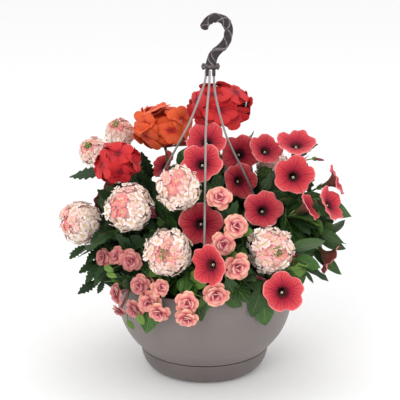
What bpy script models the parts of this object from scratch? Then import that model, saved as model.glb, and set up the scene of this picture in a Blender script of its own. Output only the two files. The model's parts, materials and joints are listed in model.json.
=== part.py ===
"""A flowering hanging basket: a plastic bowl with a clip-on saucer and a moulded hook on three strands,
planted with zonal pelargonium, petunia, verbena and double calibrachoa.

Sizes and places below are millimetres in the bowl's own frame: the saucer's underside is z = 0, the bowl's
axis is x = y = 0, and the front is -Y. Meshes are made in metres. One empty carries everything, so that
the origin lies where the hook bears on the rail that it hangs from.
"""
import math

import bmesh
import bpy
import numpy as np
from mathutils import Vector

MM = 0.001
GAP = 0.4

# Bowl, saucer and soil; the turned profiles are places (out, high) from the bottom up
RIM_TOP = 137.0
SAUCER_TOP = 30.6
BOWL_FOOT = 31.0
BOWL_OUTSIDE = ((85, 31), (88.5, 34), (100.5, 47), (109.5, 61), (116.5, 80), (121, 105), (122.5, 119),
                (124.5, 121), (125, RIM_TOP))
BOWL_INSIDE = ((80, 34), (106, 62), (113.5, 80), (119, 116), (122, RIM_TOP))
BOWL_TURNS = 32
SAUCER_OUTSIDE = ((69, 0), (80, 7.5), (85, 17), (87.4, SAUCER_TOP))
SAUCER_INSIDE = ((68, 2.5), (82, 17), (84.8, SAUCER_TOP))
RIM_RADIUS = 125.0
RIM_WALL = 2.8
SOIL_TOP = 126.0
SOIL_CROWN = 129.0
HOLE_RADIUS = 8.0
HOLE_DEPTH = 15.0

# Hook: centre line in the plane y = 0 (across, high), its band and the collar under it
HOOK_LINE = ((-2.2, 462.4), (1.7, 471.4), (8.1, 476.7), (15.1, 477.8), (23.5, 475.2), (29.5, 468.8),
             (31.3, 460.4), (29.4, 450.1), (23.0, 440.4), (13.3, 431.9), (8.8, 422.8), (7.5, 413.7))
HOOK_RADIUS = 6.2
HOOK_FLATNESS = 0.72
HOOK_SEAT = (15.4, 0.0, 471.6)
COLLAR_MIDDLE = (7.4, 0.0)
COLLAR_SIZE = (22.0, 15.0, 9.0)
COLLAR_TOP = 419.0
THROAT_SIZE = (17.0, 13.0, 12.0)
THROAT_BOTTOM = 402.0

# Strands: places down each one, from its socket in the hook to its clip on the rim
STRAND_RADIUS = 1.5
STRAND_TOP = 409.0
STRANDS = {
    "strand_front": ((6.1, -3, 397), (3.0, -18, 365), (1.2, -31, 338), (0.8, -46, 307), (0.1, -64, 267),
                     (-0.4, -86, 221), (-1.0, -97, 196), (-0.5, -115, 160), (0, -123, 143)),
    "strand_left": ((1.3, 1.5, 401), (-4.5, 6, 378), (-17.6, 15, 342), (-37, 24, 302), (-57.9, 34, 261),
                    (-68.7, 40, 233), (-88, 51, 185), (-106.5, 61.5, 143)),
    "strand_right": ((11.8, 1.5, 401), (13.0, 6, 380), (17.8, 11, 356), (32.4, 23, 307), (54.7, 34, 260),
                     (69.5, 41, 225), (88, 51, 185), (106.5, 61.5, 143)),
}
CLIP_SIZE = (12.0, 9.0, 11.0)

# Where the photograph was taken from
EYE = np.array((0.0, -1600.0, 696.0))
# Blooms that show from the front: kind, spray, across, deep, high, turn and lift of the face, width
SEEN_BLOOMS = (
    ("petunia", "petunia_crown", 2, 2, 317, -5, 25, 56),
    ("petunia", "petunia_crown_front", -5, -30, 294, -5, 15, 56),
    ("petunia", "petunia_high_right", 49, 66, 282, 10, 20, 56),
    ("petunia", "petunia_inner_right", 50, 34, 252, 45, 10, 52),
    ("petunia", "petunia_high_right", 80, 60, 289, 20, 45, 50),
    ("petunia", "petunia_right_inner", 77, -30, 231, 15, 12, 54),
    ("petunia", "petunia_right_upper", 118, -12, 277, 10, 10, 56),
    ("petunia", "petunia_right_top", 123, 24, 306, 10, 55, 56),
    ("petunia", "petunia_far_right", 178, 5, 261, 85, 25, 44),
    ("petunia", "petunia_right_outer", 168, -30, 239, 40, 5, 50),
    ("petunia", "petunia_right_side", 138, -44, 240, 80, 30, 44),
    ("petunia", "petunia_low_right", 170, -15, 156, 85, -30, 46),
    ("petunia", "petunia_front", -5, -64, 220, 0, 5, 58),
    ("petunia", "petunia_front_low", 3, -138, 188, -30, 0, 54),
    ("petunia", "petunia_low_inner_right", 98, -118, 147, 15, 12, 54),
    ("petunia", "petunia_left_upper", -57, 58, 270, -95, 25, 46),
    ("double", "double_front_upper", 39, -106, 231, 15, 15, 34),
    ("double", "double_front_upper", 23, -118, 211, 5, 5, 33),
    ("double", "double_front_top", 18, -76, 259, 5, 35, 33),
    ("double", "double_front_right", 41, -136, 187, 15, 0, 35),
    ("double", "double_front_right", 13, -150, 155, 5, -10, 35),
    ("double", "double_front_left", -22, -152, 145, -5, 5, 31),
    ("double", "double_front_left", -23, -156, 126, -5, -25, 31),
    ("double", "double_low_left", -69, -132, 138, -20, 0, 31),
    ("double", "double_low_left", -58, -140, 127, -15, -20, 29),
    ("double", "double_low_left", -90, -118, 123, -35, -15, 29),
    ("double", "double_left_front", -56, -128, 156, 30, 20, 25),
    ("double", "double_left_front", -83, -112, 154, -20, 10, 28),
    ("double", "double_left_low", -113, -95, 136, -60, 0, 29),
    ("double", "double_left_low", -111, -92, 112, -50, -40, 22),
    ("double", "double_left", -132, -68, 176, -40, 15, 26),
    ("double", "double_left", -113, -80, 182, -30, 30, 26),
    ("double", "double_left", -95, -92, 180, -10, 10, 30),
    ("verbena", "verbena_far_left", -164, -15, 207, -50, 15, 62),
    ("verbena", "verbena_left", -98, -50, 238, -25, 20, 66),
    ("verbena", "verbena_middle", -34, -64, 268, -10, 25, 60),
    ("verbena", "verbena_front", -46, -114, 198, -10, 15, 64),
    ("verbena", "verbena_front_right", 84, -92, 194, 15, 15, 62),
    ("verbena", "verbena_upper_left", -149, 30, 293, -30, 40, 44),
    ("verbena", "verbena_back_left", -118, 96, 303, -20, 55, 46),
    ("pelargonium", "pelargonium_crown", 21, 62, 349, 0, 70, 92),
    ("pelargonium", "pelargonium_orange", -57, 64, 320, -20, 65, 88),
    ("pelargonium", "pelargonium_left", -116, 0, 285, -45, 45, 76),
)
# Blooms of the side away from the front, in rings round the axis: kind, first and last turn, count, how
# far out, how high, lift of the face, width
HIDDEN_RINGS = (
    ("petunia", 110, 250, 4, 150, 214, 15, 54),
    ("petunia", 128, 228, 2, 146, 160, -10, 54),
    ("double", 98, 252, 3, 148, 156, -5, 34),
    ("verbena", 133, 227, 3, 120, 260, 30, 60),
)
# Leafy shoots with no bloom: turn round the axis, how far out, how high their tips are
SHOOTS = (
    (12, 140, 150), (30, 146, 154), (57, 152, 168), (80, 160, 190), (68, 138, 238), (104, 150, 172),
    (150, 142, 150), (178, 146, 176), (208, 142, 150), (262, 148, 160), (278, 156, 172), (292, 152, 190),
    (306, 146, 158), (268, 148, 236), (316, 112, 240), (196, 120, 232),
)

# Plants: the middle one stands inside a widening cone, the others each in a sector between two strands
SECTORS = 6
SECTOR_NAMES = ("front_right", "right", "back_right", "back_left", "left", "front_left")
CORE_RADIUS = 44.0
CORE_FROM = 190.0
CORE_SPREAD = 0.55
BORDER = 2.6
ROOT_RING = 66.0
ROOT_MIDDLE = (0.0, 12.0)
CROWN_RADIUS = 5.0
CROWN_SPREAD = 2.4
ROOT_DEPTH = 6.0
STEM_RADIUS = 1.7
STEM_TRIES = 500
MARGIN_SHARE = 0.8
LEAF_TRIES = 34
LEAF_SPACE = 5.5
LEAF_SEAT = 0.9
LEAF_MARGIN = 4.0
BLADE_THICKNESS = 1.4
SEED = 5

# How far a bloom's foot lies behind its face, and the short stalk that its stem meets
FOOT_DEPTH = {"petunia": 31.0, "double": 21.0}
STALK_RADIUS = 2.2
STALK_LENGTH = 8.0
# Florets of a head: count, how far round from its top in degrees, and half a floret's width at radius one
HEADS = {"verbena": (11, 112, 0.46), "pelargonium": (13, 120, 0.43)}
LEAF_KINDS = {
    # length, width, droop, fold, stations, tooth
    "petunia": (54.0, 34.0, 0.10, 0.14, 4, 0.0),
    "verbena": (52.0, 27.0, 0.08, 0.10, 4, 0.26),
    "pelargonium": (50.0, 50.0, 0.05, 0.10, 12, 0.12),
}


# Geometry helpers


def heading(turn, lift):
    """Unit direction, turned from the front toward the right and lifted above level, in degrees."""
    around, above = math.radians(turn), math.radians(lift)
    return np.array((math.sin(around) * math.cos(above), -math.cos(around) * math.cos(above),
                     math.sin(above)))


def unit(vector):
    """The vector at length one."""
    return np.asarray(vector, float) / np.linalg.norm(vector)


def axes_along(out, spin=0.0):
    """Rows: the right, up and outward axes of a piece that faces along out, turned by spin radians."""
    out = unit(out)
    side = np.cross((0.0, 0.0, 1.0), out)
    if np.linalg.norm(side) < 0.05:
        side = np.array((1.0, 0.0, 0.0))
    side = unit(side)
    up = np.cross(out, side)
    return np.array((math.cos(spin) * side + math.sin(spin) * up,
                     math.cos(spin) * up - math.sin(spin) * side, out))


def golden_cap(count, widest):
    """Unit directions spread evenly over a cap about +Z that reaches widest degrees from its pole."""
    index = np.arange(count)
    rise = 1 - (index + 0.5) / count * (1 - math.cos(math.radians(widest)))
    around = index * math.radians(137.508)
    flat = np.sqrt(1 - rise ** 2)
    return np.stack((flat * np.cos(around), flat * np.sin(around), rise), axis=1)


def bezier(start, start_pull, end_pull, end, count):
    """Places along a cubic Bezier curve."""
    t = np.linspace(0, 1, count)[:, None]
    return ((1 - t) ** 3 * start + 3 * (1 - t) ** 2 * t * start_pull
            + 3 * (1 - t) * t ** 2 * end_pull + t ** 3 * end)


def along(line, share):
    """The place and the unit direction at a share of a line's length."""
    steps = np.linalg.norm(np.diff(line, axis=0), axis=1)
    reach = np.concatenate(((0.0,), np.cumsum(steps)))
    place = np.array([np.interp(share * reach[-1], reach, line[:, axis]) for axis in range(3)])
    index = min(int(np.searchsorted(reach, share * reach[-1])), len(steps)) - 1
    return place, unit(line[max(index, 0) + 1] - line[max(index, 0)])


# Layout of the planting, in millimetres


def finer(line):
    """Places close together along a line."""
    reach = np.concatenate(((0.0,), np.cumsum(np.linalg.norm(np.diff(line, axis=0), axis=1))))
    shares = np.linspace(0, reach[-1], 26)
    return np.stack([np.interp(shares, reach, line[:, axis]) for axis in range(3)], axis=1)


def all_blooms():
    """Every bloom as a dictionary: the ones in the table, then the rings of the hidden side."""
    blooms = []
    for kind, spray, across, deep, high, turn, lift, width in SEEN_BLOOMS:
        place = np.array((across, deep, high), float)
        blooms.append({"kind": kind, "spray": spray, "centre": place, "face": heading(turn, lift),
                       "radius": width / 2, "slide": unit(EYE - place), "seen": True})
    for ring, (kind, first, last, count, out, high, lift, width) in enumerate(HIDDEN_RINGS):
        for index in range(count):
            turn = first + (last - first) * index / (count - 1)
            place = out * heading(turn, 0) + np.array((0, 0, high + 9 * math.sin(2.4 * index + ring)))
            spray = f"{kind}_hidden_{ring}_{index}"
            blooms.append({"kind": kind, "spray": spray, "centre": place,
                           "face": heading(turn + 8 * math.sin(1.7 * index), lift),
                           "radius": width / 2, "slide": heading(turn, 0), "seen": False})
    for index, bloom in enumerate(blooms):
        bloom["spin"] = 0.4 + 1.3 * index
    return blooms


def bloom_samples(bloom):
    """Balls that fill a bloom, as places and radii in its own frame."""
    radius = bloom["radius"]
    around = np.linspace(0, 2 * math.pi, 12, endpoint=False)
    circle = np.stack((np.cos(around), np.sin(around), 0 * around), axis=1)
    if bloom["kind"] == "petunia":
        parts = [(circle * 0.90 * radius, 3.0), (circle[::2] * 0.55 * radius - (0, 0, 0.12 * radius), 5.0)]
        parts += [(np.array([(0, 0, -depth * radius)]), ball)
                  for depth, ball in ((0.34, 8.4), (0.55, 6.0), (0.78, 4.2), (1.0, 3.2), (1.2, 3.2))]
    elif bloom["kind"] == "double":
        parts = [(circle * 0.76 * radius, 0.28 * radius), (np.array([(0, 0, 0.04 * radius)]), 0.42 * radius),
                 (np.array([(0, 0, -0.5 * radius), (0, 0, -radius)]), 3.4)]
    else:
        parts = [(np.zeros((1, 3)), radius)]
    places = np.concatenate([place for place, _ in parts])
    radii = np.concatenate([np.full(len(place), ball) for place, ball in parts])
    return places, radii


def balls_of(bloom):
    """The same balls in the basket's frame."""
    places, radii = bloom_samples(bloom)
    return places @ axes_along(bloom["face"], bloom["spin"]) + bloom["centre"], radii


def strand_balls():
    """Balls along the three strands."""
    lines = []
    for points in STRANDS.values():
        line = np.array(points, float)
        lines.extend(along(line, share)[0] for share in np.linspace(0, 1, 70))
    return np.array(lines), np.full(len(lines), STRAND_RADIUS)


def pot_clearance(places):
    """How far places lie from the bowl's wall, its rim and the soil."""
    out = np.hypot(places[:, 0], places[:, 1])
    high = places[:, 2]
    rim = np.hypot(np.maximum(np.abs(out - RIM_RADIUS + 1.5) - 3.0, 0), np.maximum(high - RIM_TOP, 0))
    above = np.where(out < RIM_RADIUS - 3, np.minimum(high - SOIL_CROWN, rim), rim)
    beside = np.where(out > RIM_RADIUS - 1.5, out - RIM_RADIUS - 1.5,
                      np.minimum(high - SOIL_CROWN, RIM_RADIUS - 4.5 - out))
    return np.where(high > RIM_TOP, above, beside)


def settle(blooms):
    """Move blooms of different sprays apart until none touches another.

    The seen ones only slide along the line of sight; the hidden ones move straight away.
    """
    strands, strand_radii = strand_balls()
    for _ in range(300):
        moved = False
        balls = [balls_of(bloom) for bloom in blooms]
        for first, one in enumerate(blooms):
            own, own_radii = balls[first]
            reach = np.linalg.norm(own[:, None] - strands[None], axis=2) - own_radii[:, None] - strand_radii
            if reach.min() < 1.5:
                one["centre"] -= one["slide"] * 0.6
                moved = True
            if (pot_clearance(own) - own_radii).min() < 2:
                one["centre"] += unit(one["centre"] * (1, 1, 0) + (0, 0, 60)) * 0.6
                moved = True
            for second in range(first + 1, len(blooms)):
                two = blooms[second]
                other, other_radii = balls[second]
                if one["spray"] == two["spray"] or np.linalg.norm(one["centre"] - two["centre"]) > 110:
                    continue
                space = (np.linalg.norm(own[:, None] - other[None], axis=2)
                         - own_radii[:, None] - other_radii[None]).min()
                if space > 1.8:
                    continue
                away = unit(one["centre"] - two["centre"])
                for bloom, sign, mate in ((one, 1, two), (two, -1, one)):
                    if not bloom["seen"]:
                        bloom["centre"] += sign * 0.7 * away
                    elif mate["seen"]:
                        slide = bloom["slide"]
                        bloom["centre"] += math.copysign(0.5, sign * (away @ slide)) * slide
                moved = True
        if not moved:
            return


def sprays_of(blooms):
    """Blooms by spray, each with the foot that its stem meets and the direction of its stalk."""
    sprays = {}
    for bloom in blooms:
        sprays.setdefault(bloom["spray"], {"blooms": []})["blooms"].append(bloom)
    for spray in sprays.values():
        members = spray["blooms"]
        middle = np.mean([bloom["centre"] for bloom in members], axis=0)
        face = np.mean([bloom["face"] for bloom in members], axis=0)
        spread = max(np.linalg.norm(bloom["centre"] - middle) for bloom in members)
        kind = members[0]["kind"]
        if kind in FOOT_DEPTH:
            depth = FOOT_DEPTH[kind] + 0.5 * spread
            sink = 0.45 if middle[2] < 180 else 0.0
            spray["axis"] = unit(unit(face) - np.array((0, 0, sink)))
        else:
            depth = 0.66 * members[0]["radius"] + STALK_LENGTH
            spray["axis"] = unit(unit(face) + np.array((0, 0, 0.6)))
        spray["foot"] = middle - spray["axis"] * depth
    return sprays


def sectors_of(places):
    """The plants in whose ground places lie, and how far each place is from the border of that ground."""
    out = np.hypot(places[:, 0], places[:, 1])
    core = CORE_RADIUS + np.maximum(0.0, places[:, 2] - CORE_FROM) * CORE_SPREAD
    step = 2 * math.pi / SECTORS
    around = np.arctan2(places[:, 0], -places[:, 1]) % (2 * math.pi)
    index = (around // step).astype(int)
    side = np.minimum(around - index * step, (index + 1) * step - around)
    owners = np.where(out < core, SECTORS, index)
    return owners, np.where(out < core, core - out, np.minimum(out - core, out * np.sin(side)))


def sector_of(place):
    """The plant in whose ground a place lies."""
    return int(sectors_of(np.asarray(place)[None])[0][0])


def root_of(sector):
    """Where a plant's stems leave the soil."""
    if sector == SECTORS:
        return np.array((*ROOT_MIDDLE, SOIL_TOP))
    return ROOT_RING * heading((sector + 0.5) * 360 / SECTORS, 0) + np.array((0, 0, SOIL_TOP))


def room(places, sector, balls, radii, margin):
    """The least room round places that belong to a plant: less than nothing where they don't fit."""
    owners, borders = sectors_of(places)
    inside = np.where(owners == sector, borders, -BORDER).min() - BORDER
    if inside < -MARGIN_SHARE:
        return inside
    blooms = (np.linalg.norm(places[:, None] - balls[None], axis=2) - radii[None]).min()
    return min(inside, blooms - margin, pot_clearance(places).min() - margin)


def apart_from(places, lines):
    """The least distance from places to the points of some lines, which are given close together."""
    if not len(lines) or not len(places):
        return 99.0
    points = np.concatenate(lines)
    return np.linalg.norm(places[:, None] - points[None], axis=2).min()


def grow_stem(foot, axis, own, sector, grown, fines, balls, radii, rng):
    """A stem's centre line to the foot of its spray, from the plant's root or from a stem already grown."""
    root = root_of(sector) + CROWN_SPREAD * heading(137.5 * len(grown), 0) - np.array((0, 0, ROOT_DEPTH))
    best, best_room = None, -1e9
    for attempt in range(STEM_TRIES):
        start, rise, skip = root, np.array((0, 0, 30.0 + 70 * rng.random())), 8
        if grown and attempt % 8:
            start, run = along(grown[rng.integers(len(grown))], 0.3 + 0.4 * rng.random())
            rise, skip = run * (10 + 16 * rng.random()), 1
        lean = rng.normal(size=3) * 30 * (attempt / STEM_TRIES) * (1, 1, 0.6)
        pull = foot - axis * (22 + 18 * rng.random()) + lean
        points = 3 + int(np.linalg.norm(foot - start) > 70) + int(np.linalg.norm(foot - start) > 120)
        line = bezier(start, start + rise, pull, foot - axis * (4 + 3 * rng.random()), points)
        line = np.concatenate((line, [foot - axis * GAP]))
        length = np.linalg.norm(np.diff(line, axis=0), axis=1).sum()
        straight = np.linalg.norm(foot - start)
        if straight < 30 or length > 1.5 * straight:
            continue
        fine = finer(line)
        space = room(fine[skip:], sector, balls[~own], radii[~own], STEM_RADIUS + 1.0)
        if own.any():
            tested = fine[skip:][np.linalg.norm(fine[skip:] - foot, axis=1) > 7.5]
            space = min(space, room(tested, sector, balls[own], radii[own], STEM_RADIUS + 1.0))
        free = fine[8:][np.linalg.norm(fine[8:] - start, axis=1) > 20]
        if space > best_room and grown:
            space = min(space, apart_from(free, fines) - 2.6 * STEM_RADIUS)
        if space > best_room:
            best, best_room = line, space
        if space > 0:
            break
    return best, best_room


def leaf_kind(place, rng):
    """The kind of leaf that grows at a place: verbena to the left, petunia to the right."""
    turn = math.degrees(math.atan2(place[0], -place[1]))
    if math.hypot(place[0], place[1]) < 60 and place[2] > 230:
        return "pelargonium"
    if -150 < turn < -38:
        return "verbena"
    return "petunia" if rng.random() < 0.72 else "verbena"


def leaf_frame(direction, outward, roll):
    """Rows: along the leaf, across it and its upper side's normal, which leans outward."""
    direction = unit(direction)
    normal = outward - direction * (outward @ direction)
    normal = unit(normal)
    across = np.cross(normal, direction)
    normal = math.cos(roll) * normal + math.sin(roll) * across
    return np.array((direction, np.cross(normal, direction), normal))


def leaf_samples(kind, size):
    """Places spread over a leaf, in its own frame."""
    length, width, droop = (value * size for value in LEAF_KINDS[kind][:3])
    share = np.array((0.2, 0.35, 0.5, 0.65, 0.8, 0.92, 1.0))
    half = 0.5 * width * np.array((0.6, 0.9, 1.0, 0.97, 0.8, 0.5, 0.0))
    places = []
    for side in (-1.0, -0.5, 0.0, 0.5, 1.0):
        places.append(np.stack((share * length, side * half, -droop / size * length * share ** 2), axis=1))
    return np.concatenate(places)


def hides(places, balls, radii):
    """Whether any place stands in front of the balls, as the photograph's eye sees them."""
    near, far = places - EYE, balls - EYE
    near_depth, far_depth = np.linalg.norm(near, axis=1), np.linalg.norm(far, axis=1)
    apart = np.linalg.norm(near[:, None] / near_depth[:, None, None] - far[None] / far_depth[None, :, None],
                           axis=2)
    return bool(((apart < radii / far_depth) & (near_depth[:, None] < far_depth[None])).any())


def grow_leaves(line, own, others, sector, count, first, balls, radii, seen, placed, rng):
    """Leaves along one stem: of many tries for each, the one that lies furthest from the other leaves."""
    leaves = []
    for index in range(count):
        share = first + (0.985 - first) * (index + 0.6) / count
        base, run = along(line, share)
        kind = leaf_kind(base, rng)
        best, best_score = None, -1e9
        for _ in range(LEAF_TRIES):
            size = 0.8 + 0.35 * rng.random()
            tilt = math.radians(25 + 60 * rng.random())
            side = axes_along(run, 2 * math.pi * rng.random())[0]
            direction = unit(math.cos(tilt) * run + math.sin(tilt) * side)
            outward = unit(base * (1, 1, 0) + np.array((0, 0, 0.9 * (base[2] - 120))) + 1e-6)
            if direction @ outward < -0.15:
                continue
            frame = leaf_frame(direction, outward + 0.35 * rng.normal(size=3), 0.3 * rng.normal())
            start = base + LEAF_SEAT * direction
            places = leaf_samples(kind, size) @ frame + start
            space = room(places, sector, balls, radii, LEAF_MARGIN)
            if space < 0 or apart_from(places, others) < LEAF_SPACE or apart_from(places, own) < 4.0:
                continue
            if hides(places, balls[:seen], radii[:seen]):
                continue
            middle = places.mean(axis=0)
            near = [other for other in placed if np.linalg.norm(middle - other[0]) < 60]
            if near and min(np.linalg.norm(places[:, None] - other[1][None], axis=2).min()
                            for other in near) < LEAF_SPACE:
                continue
            apart = min([60.0] + [np.linalg.norm(middle - other[0]) for other in near])
            score = apart + 12 * (direction @ outward)
            if score > best_score:
                best, best_score = (kind, size, start, frame, middle, places), score
        if best is None:
            continue
        placed.append(best[4:])
        leaves.append(best[:4])
    return leaves


def planting():
    """The whole layout: sprays, and for each plant its stems and leaves."""
    blooms = all_blooms()
    settle(blooms)
    sprays = sprays_of(blooms)
    rng = np.random.default_rng(SEED)
    ball_sets = [balls_of(bloom) for bloom in blooms]
    seen = sum(len(places) for places, _ in ball_sets[:len(SEEN_BLOOMS)])
    strands, strand_radii = strand_balls()
    balls = np.concatenate([places for places, _ in ball_sets] + [strands])
    radii = np.concatenate([sizes for _, sizes in ball_sets] + [strand_radii])
    owners = [bloom["spray"] for bloom, (places, _) in zip(blooms, ball_sets) for _ in places]
    owners += ["strand"] * len(strands)
    stalks = []
    for name, spray in sprays.items():
        stalks.extend(spray["foot"] + spray["axis"] * reach for reach in (1.0, 5.0, 10.0, 15.0))
        for bloom in spray["blooms"]:
            tail = bloom["centre"] - bloom["face"] * bloom["radius"] * 0.5
            stalks.extend(spray["foot"] + (tail - spray["foot"]) * part for part in (0.35, 0.55, 0.75))
        owners += [name] * (len(stalks) + len(balls) - len(owners))
    owners = np.array(owners)
    balls = np.concatenate((balls, np.array(stalks)))
    radii = np.concatenate((radii, np.full(len(stalks), 3.2)))
    plants = {index: {"stems": [], "fines": [], "bearing": [], "leaves": []} for index in range(SECTORS + 1)}
    placed = []
    ends = [(spray["foot"], spray["axis"], 3, 0.5, name) for name, spray in sprays.items()]
    for turn, out, high in SHOOTS:
        tip = out * heading(turn, 0) + np.array((0, 0, high))
        axis = heading(turn, 25 if high > 200 else -25)
        ends.append((tip - axis * 26, axis, 5, 0.35, f"shoot {turn}"))
    for foot, axis, count, first, name in ends:
        sector = sector_of(foot - axis * 6)
        grown = plants[sector]["stems"]
        line, space = grow_stem(foot, axis, owners == name, sector, grown, plants[sector]["fines"],
                                balls, radii, rng)
        if space < -MARGIN_SHARE:
            continue
        grown.append(line)
        plants[sector]["fines"].append(finer(line))
        plants[sector]["bearing"].append((count, first))
    for sector, plant in plants.items():
        for index, (line, (count, first)) in enumerate(zip(plant["stems"], plant["bearing"])):
            others = plant["fines"][:index] + plant["fines"][index + 1:]
            own = plant["fines"][index:index + 1]
            plant["leaves"] += grow_leaves(line, own, others, sector, count, first, balls, radii, seen,
                                           placed, rng)
    return sprays, plants


# Solids


def new_object(name, mesh, collection):
    """An object for a mesh, in a collection."""
    thing = bpy.data.objects.new(name, mesh)
    collection.objects.link(thing)
    return thing


def mesh_of(name, places, faces):
    """A mesh from places in millimetres, its faces turned outward."""
    mesh = bpy.data.meshes.new(name)
    mesh.from_pydata([tuple(float(value) * MM for value in place) for place in places], [], faces)
    shape = bmesh.new()
    shape.from_mesh(mesh)
    bmesh.ops.recalc_face_normals(shape, faces=shape.faces)
    shape.to_mesh(mesh)
    shape.free()
    return mesh


def ring_solid(name, start, rings, end, collection):
    """A closed solid of triangles: a point, rings of equal count in order, and a point."""
    count = len(rings[0])
    places = [start] + [place for ring in rings for place in ring] + [end]
    faces = []
    for index in range(count):
        beside = (index + 1) % count
        faces.append((0, 1 + index, 1 + beside))
        for row in range(len(rings) - 1):
            low, high = 1 + row * count, 1 + (row + 1) * count
            faces.append((low + index, high + index, high + beside))
            faces.append((low + index, high + beside, low + beside))
        last = 1 + (len(rings) - 1) * count
        faces.append((len(places) - 1, last + beside, last + index))
    return new_object(name, mesh_of(name, places, faces), collection)


def tube_solid(name, line, radius, collection, sides=0):
    """A closed tube along a line: a poly curve with a bevel and filled caps, made a mesh."""
    curve = bpy.data.curves.new(name, "CURVE")
    curve.dimensions = "3D"
    curve.bevel_depth = radius * MM
    curve.bevel_resolution = sides
    curve.use_fill_caps = True
    spline = curve.splines.new("POLY")
    spline.points.add(len(line) - 1)
    for point, place in zip(spline.points, line):
        point.co = (*(float(value) * MM for value in place), 1.0)
    wire = new_object(name, curve, collection)
    seen = wire.evaluated_get(bpy.context.evaluated_depsgraph_get())
    mesh = bpy.data.meshes.new_from_object(seen)
    shape = bmesh.new()
    shape.from_mesh(mesh)
    bmesh.ops.remove_doubles(shape, verts=shape.verts, dist=0.00001)
    bmesh.ops.recalc_face_normals(shape, faces=shape.faces)
    shape.to_mesh(mesh)
    shape.free()
    thing = new_object(name, mesh, collection)
    thing.matrix_world = wire.matrix_world.copy()
    bpy.data.objects.remove(wire)
    return thing


def keep_main_body(mesh):
    """Leave only the mesh's largest piece, by shared edges: loose scraps and sealed hollows go."""
    shape = bmesh.new()
    shape.from_mesh(mesh)
    waiting = set(shape.faces)
    pieces = []
    while waiting:
        stack = [waiting.pop()]
        piece = []
        while stack:
            face = stack.pop()
            piece.append(face)
            for edge in face.edges:
                for other in edge.link_faces:
                    if other in waiting:
                        waiting.remove(other)
                        stack.append(other)
        pieces.append(piece)
    pieces.sort(key=len)
    spare = [face for piece in pieces[:-1] for face in piece]
    bmesh.ops.delete(shape, geom=spare, context="FACES")
    shape.to_mesh(mesh)
    shape.free()


def apply_boolean(thing, others, operation, solver="MANIFOLD"):
    """Join or cut an object with a collection of others, which are then removed."""
    pile = bpy.data.collections.new("pile")
    bpy.context.scene.collection.children.link(pile)
    for other in others:
        for holder in list(other.users_collection):
            holder.objects.unlink(other)
        pile.objects.link(other)
    change = thing.modifiers.new(operation.title(), "BOOLEAN")
    change.operation = operation
    change.operand_type = "COLLECTION"
    change.collection = pile
    change.solver = solver
    seen = thing.evaluated_get(bpy.context.evaluated_depsgraph_get())
    mesh = bpy.data.meshes.new_from_object(seen)
    thing.modifiers.clear()
    thing.data = mesh
    keep_main_body(mesh)
    for other in others:
        bpy.data.objects.remove(other)
    bpy.data.collections.remove(pile)


def turned_solid(name, profile, collection, steps=BOWL_TURNS):
    """A turned solid: a profile of places (out, high) down its outer side, with a Screw modifier."""
    mesh = bpy.data.meshes.new(name)
    places = [(out * MM, 0.0, high * MM) for out, high in profile]
    mesh.from_pydata(places, [(index, index + 1) for index in range(len(places) - 1)], [])
    thing = new_object(name, mesh, collection)
    turn = thing.modifiers.new("Turn", "SCREW")
    turn.steps = steps
    turn.render_steps = steps
    turn.use_merge_vertices = True
    turn.merge_threshold = 0.00005
    return thing


def made_mesh(thing):
    """Apply an object's modifiers, so that it can be joined or cut."""
    seen = thing.evaluated_get(bpy.context.evaluated_depsgraph_get())
    mesh = bpy.data.meshes.new_from_object(seen)
    thing.modifiers.clear()
    thing.data = mesh
    return thing


def box_solid(name, middle, size, collection, edge=0.0, turn=0.0):
    """A box with bevelled edges."""
    mesh = bpy.data.meshes.new(name)
    shape = bmesh.new()
    bmesh.ops.create_cube(shape, size=1.0)
    bmesh.ops.scale(shape, vec=Vector(size) * MM, verts=shape.verts)
    if edge:
        bmesh.ops.bevel(shape, geom=shape.edges[:], offset=edge * MM, segments=1, affect="EDGES")
    shape.to_mesh(mesh)
    shape.free()
    thing = new_object(name, mesh, collection)
    thing.location = Vector(middle) * MM
    thing.rotation_euler.z = turn
    return thing


def material(name, colour, roughness):
    """A plain material from an sRGB hex colour."""
    made = bpy.data.materials.new(name)
    made.use_nodes = True
    shader = made.node_tree.nodes["Principled BSDF"]
    levels = [int(colour[index:index + 2], 16) / 255 for index in (0, 2, 4)]
    linear = [level / 12.92 if level <= 0.04045 else ((level + 0.055) / 1.055) ** 2.4 for level in levels]
    shader.inputs["Base Color"].default_value = (*linear, 1.0)
    shader.inputs["Roughness"].default_value = roughness
    made.diffuse_color = (*linear, 1.0)
    return made


def finish(thing, name, look, smooth=False):
    """Name a part, give it its material and put it under the basket's empty."""
    thing.name = name
    thing.data.name = name
    thing.data.materials.clear()
    thing.data.materials.append(look)
    if smooth:
        thing.data.shade_smooth()
        thing.data.set_sharp_from_angle(angle=math.radians(38))
    return thing


# Holder


def make_shell(name, outside, inside, parts):
    """A turned shell with a level floor, from its outside and inside profiles."""
    profile = [(0, inside[0][1])] + list(inside) + list(outside[::-1]) + [(0, outside[0][1])]
    return turned_solid(name, profile, parts)


def make_soil(parts):
    """The soil that fills the bowl, with a plain blind hole for each plant's stems."""
    edge = BOWL_INSIDE[3][0] - GAP
    side = [(out - GAP, high) for out, high in BOWL_INSIDE[1:4]]
    profile = [(0, SOIL_CROWN), (edge, SOIL_TOP - 4)] + side[::-1] + [(0, side[0][1])]
    soil = made_mesh(turned_solid("soil", profile, parts))
    holes = []
    for sector in range(SECTORS + 1):
        x, y, z = root_of(sector)
        line = [(x, y, z - HOLE_DEPTH), (x, y, z + 12)]
        holes.append(tube_solid("hole", line, HOLE_RADIUS, parts, sides=2))
    apply_boolean(soil, holes, "DIFFERENCE")
    return soil


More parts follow.
